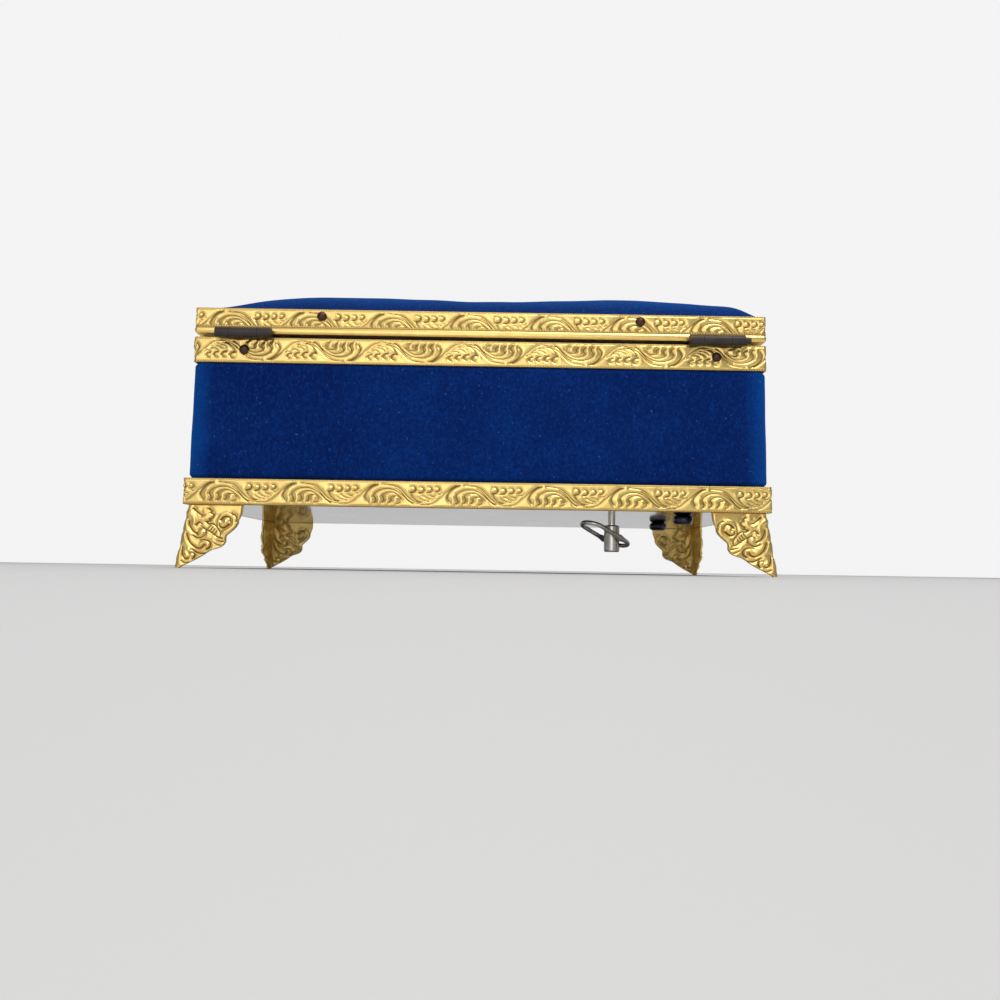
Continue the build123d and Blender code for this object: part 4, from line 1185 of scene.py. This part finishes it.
SLOT_FINISHES: dict[Finish, tuple[str, ...]] = {
    Finish.GILT: ("lift_tab", "foot_nails"),
    Finish.PANEL: ("bottom_panel",),
    Finish.BOARD: ("front_wall", "rear_wall", "left_wall", "right_wall", "lid_board"),
    Finish.SATIN: ("wall_lining", "floor_lining", "partition", "tray_divider", "movement_cover"),
    Finish.MIRROR: ("lid_mirror",),
    Finish.BARREL: (
        "case_hinge_leaf_left", "case_hinge_leaf_right", "lid_hinge_leaf_left", "lid_hinge_leaf_right",
        "hinge_pins",
    ),
    Finish.NAIL: ("body_rim_nails", "lid_nails"),
    Finish.BLUED: ("mounting_screws",),
    Finish.NICKEL: ("key_hub", "key_pin", "winding_arbor", "comb_screws", "stop_rod"),
    Finish.CAST: ("movement_bedplate", "barrel_bridge", "front_bearing", "governor_frame"),
    Finish.BRASS: ("spring_barrel", "pin_cylinder", "cylinder_arbor", "governor_wheel", "governor_fly"),
    Finish.STEEL: ("mainspring", "comb"),
}


def dress(frame: dict[str, bpy.types.Object]) -> None:
    """Gives each plain piece its finish.

    Args:
        frame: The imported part's objects by node name.
    """
    for finish, nodes in SLOT_FINISHES.items():
        for node in nodes:
            mesh = frame[node].data
            for number in range(len(mesh.materials)):
                mesh.materials[number] = finish.material()
            if not mesh.materials:
                mesh.materials.append(finish.material())


# Studio


@dataclass
class Studio:
    """Pale floor, soft lights and the photograph's camera."""

    camera_x: float = -5.86
    camera_y: float = 289.4
    camera_z: float = 1.0
    pitch: float = 5.0
    yaw: float = 0.207
    roll: float = 0.903
    lens: float = 28.63
    floor_half: float = 1.3
    aim: tuple[float, float, float] = (0, 0, 0.05)
    soft_strength: float = 0.26

    def build(self) -> None:
        """Makes the floor, the lights, the backdrop and the camera."""
        self.floor()
        self.light("rear_key", (-0.30, 0.55, 0.95), 0.55, 4.9)
        self.light("rear_wide", (0.35, 1.1, 0.55), 0.9, 2.4)
        self.light("top_soft", (0.1, -0.1, 1.1), 1.0, 2.6)
        self.light("front_soft", (0.0, -1.0, 0.6), 1.0, 2.0)
        self.light("low_fill", (0.05, 0.75, 0.06), 0.4, 0.6)
        self.backdrop()
        self.camera()

    def floor(self) -> None:
        """Makes the plain pale floor."""
        mesh = bpy.data.meshes.new("floor")
        half = self.floor_half
        corners = [(-half, -half, 0), (half, -half, 0), (half, half, 0), (-half, half, 0)]
        mesh.from_pydata(corners, [], [(0, 1, 2, 3)])
        graph = Graph("pale_floor")
        mesh.materials.append(graph.finish(Base_Color=tone(0.78, 0.77, 0.75), Roughness=0.7))
        floor = bpy.data.objects.new("floor", mesh)
        bpy.context.scene.collection.objects.link(floor)

    def light(self, name: str, place: tuple[float, float, float], size: float, power: float) -> None:
        """Makes one soft square light that faces the box."""
        lamp = bpy.data.lights.new(name, "AREA")
        lamp.energy = power
        lamp.size = size
        made = bpy.data.objects.new(name, lamp)
        made.location = place
        made.rotation_euler = (Vector(self.aim) - Vector(place)).to_track_quat("-Z", "Y").to_euler()
        bpy.context.scene.collection.objects.link(made)

    def backdrop(self) -> None:
        """Makes the world: a soft grey light that the camera sees as a pale backdrop."""
        world = bpy.data.worlds.new("studio")
        bpy.context.scene.world = world
        world.use_nodes = True
        tree = world.node_tree
        tree.nodes.clear()
        soft = tree.nodes.new("ShaderNodeBackground")
        soft.inputs["Color"].default_value = tone(0.9, 0.93, 1.0)
        soft.inputs["Strength"].default_value = self.soft_strength
        seen = tree.nodes.new("ShaderNodeBackground")
        seen.inputs["Color"].default_value = tone(0.9, 0.9, 0.9)
        seen.inputs["Strength"].default_value = 1.0
        ray = tree.nodes.new("ShaderNodeLightPath")
        mix = tree.nodes.new("ShaderNodeMixShader")
        output = tree.nodes.new("ShaderNodeOutputWorld")
        tree.links.new(ray.outputs["Is Camera Ray"], mix.inputs[0])
        tree.links.new(soft.outputs[0], mix.inputs[1])
        tree.links.new(seen.outputs[0], mix.inputs[2])
        tree.links.new(mix.outputs[0], output.inputs["Surface"])
        bpy.context.scene.view_settings.view_transform = "Standard"

    def camera(self) -> None:
        """Makes the camera: behind the box and low, tipped up by its pitch."""
        pitch, yaw, roll = (math.radians(angle) for angle in (-self.pitch, -self.yaw, self.roll))
        about_x = Matrix.Rotation(pitch, 3, "X")
        about_y = Matrix.Rotation(yaw, 3, "Y")
        about_z = Matrix.Rotation(roll, 3, "Z")
        right, down, ahead = about_z @ about_x @ about_y

        def world(axis: Vector) -> Vector:
            """Turns an axis of the picture into the part's frame."""
            return Vector((-axis[0], -axis[2], -axis[1]))

        columns = Matrix((world(right), -world(down), -world(ahead))).transposed()
        lens = bpy.data.cameras.new("camera")
        lens.lens = self.lens
        lens.sensor_width = 36.0
        lens.clip_start = 0.0002
        made = bpy.data.objects.new("camera", lens)
        place = Vector((self.camera_x, self.camera_y, self.camera_z)) * MM
        made.matrix_world = Matrix.Translation(place) @ columns.to_4x4()
        bpy.context.scene.collection.objects.link(made)
        bpy.context.scene.camera = made


def main() -> None:
    """Builds the whole scene in order."""
    logging.basicConfig(level=logging.INFO, format="%(name)s %(message)s")
    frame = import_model()
    strip, rim = strip_relief(), (89.0, 47.7)
    for band in (
        StampedBand("gilt_base", "base_band", "case", 89.9, 48.6, 19.35, strip, 4.5, 1.6, Lip.NONE),
        StampedBand("gilt_rim", "body_rim_band", "case", *rim, 63.57, strip, 0.9, 0.7, Lip.TOP, 0.0, True),
        StampedBand("gilt_lid", "lid_band", "lid", *rim, 72.85, strip, 3.75, 0.7, Lip.BOTTOM, 2.1),
    ):
        band.build()
    for depth, side_y in (("front", -1), ("rear", 1)):
        for width, side_x in (("left", -1), ("right", 1)):
            Foot(f"scroll_foot_{depth}_{width}", f"foot_{depth}_{width}", side_x, side_y).build()
    VelvetWrap().build()
    LidPad().build()
    LidLining().build()
    for index in range(ROLLS):
        RingRoll(index + 1, FIRST_ROLL_X + ROLL_PITCH * index).build()
    KeyLoop().build()
    dress(frame["nodes"])
    Studio().build()


if __name__ == "__main__":
    main()
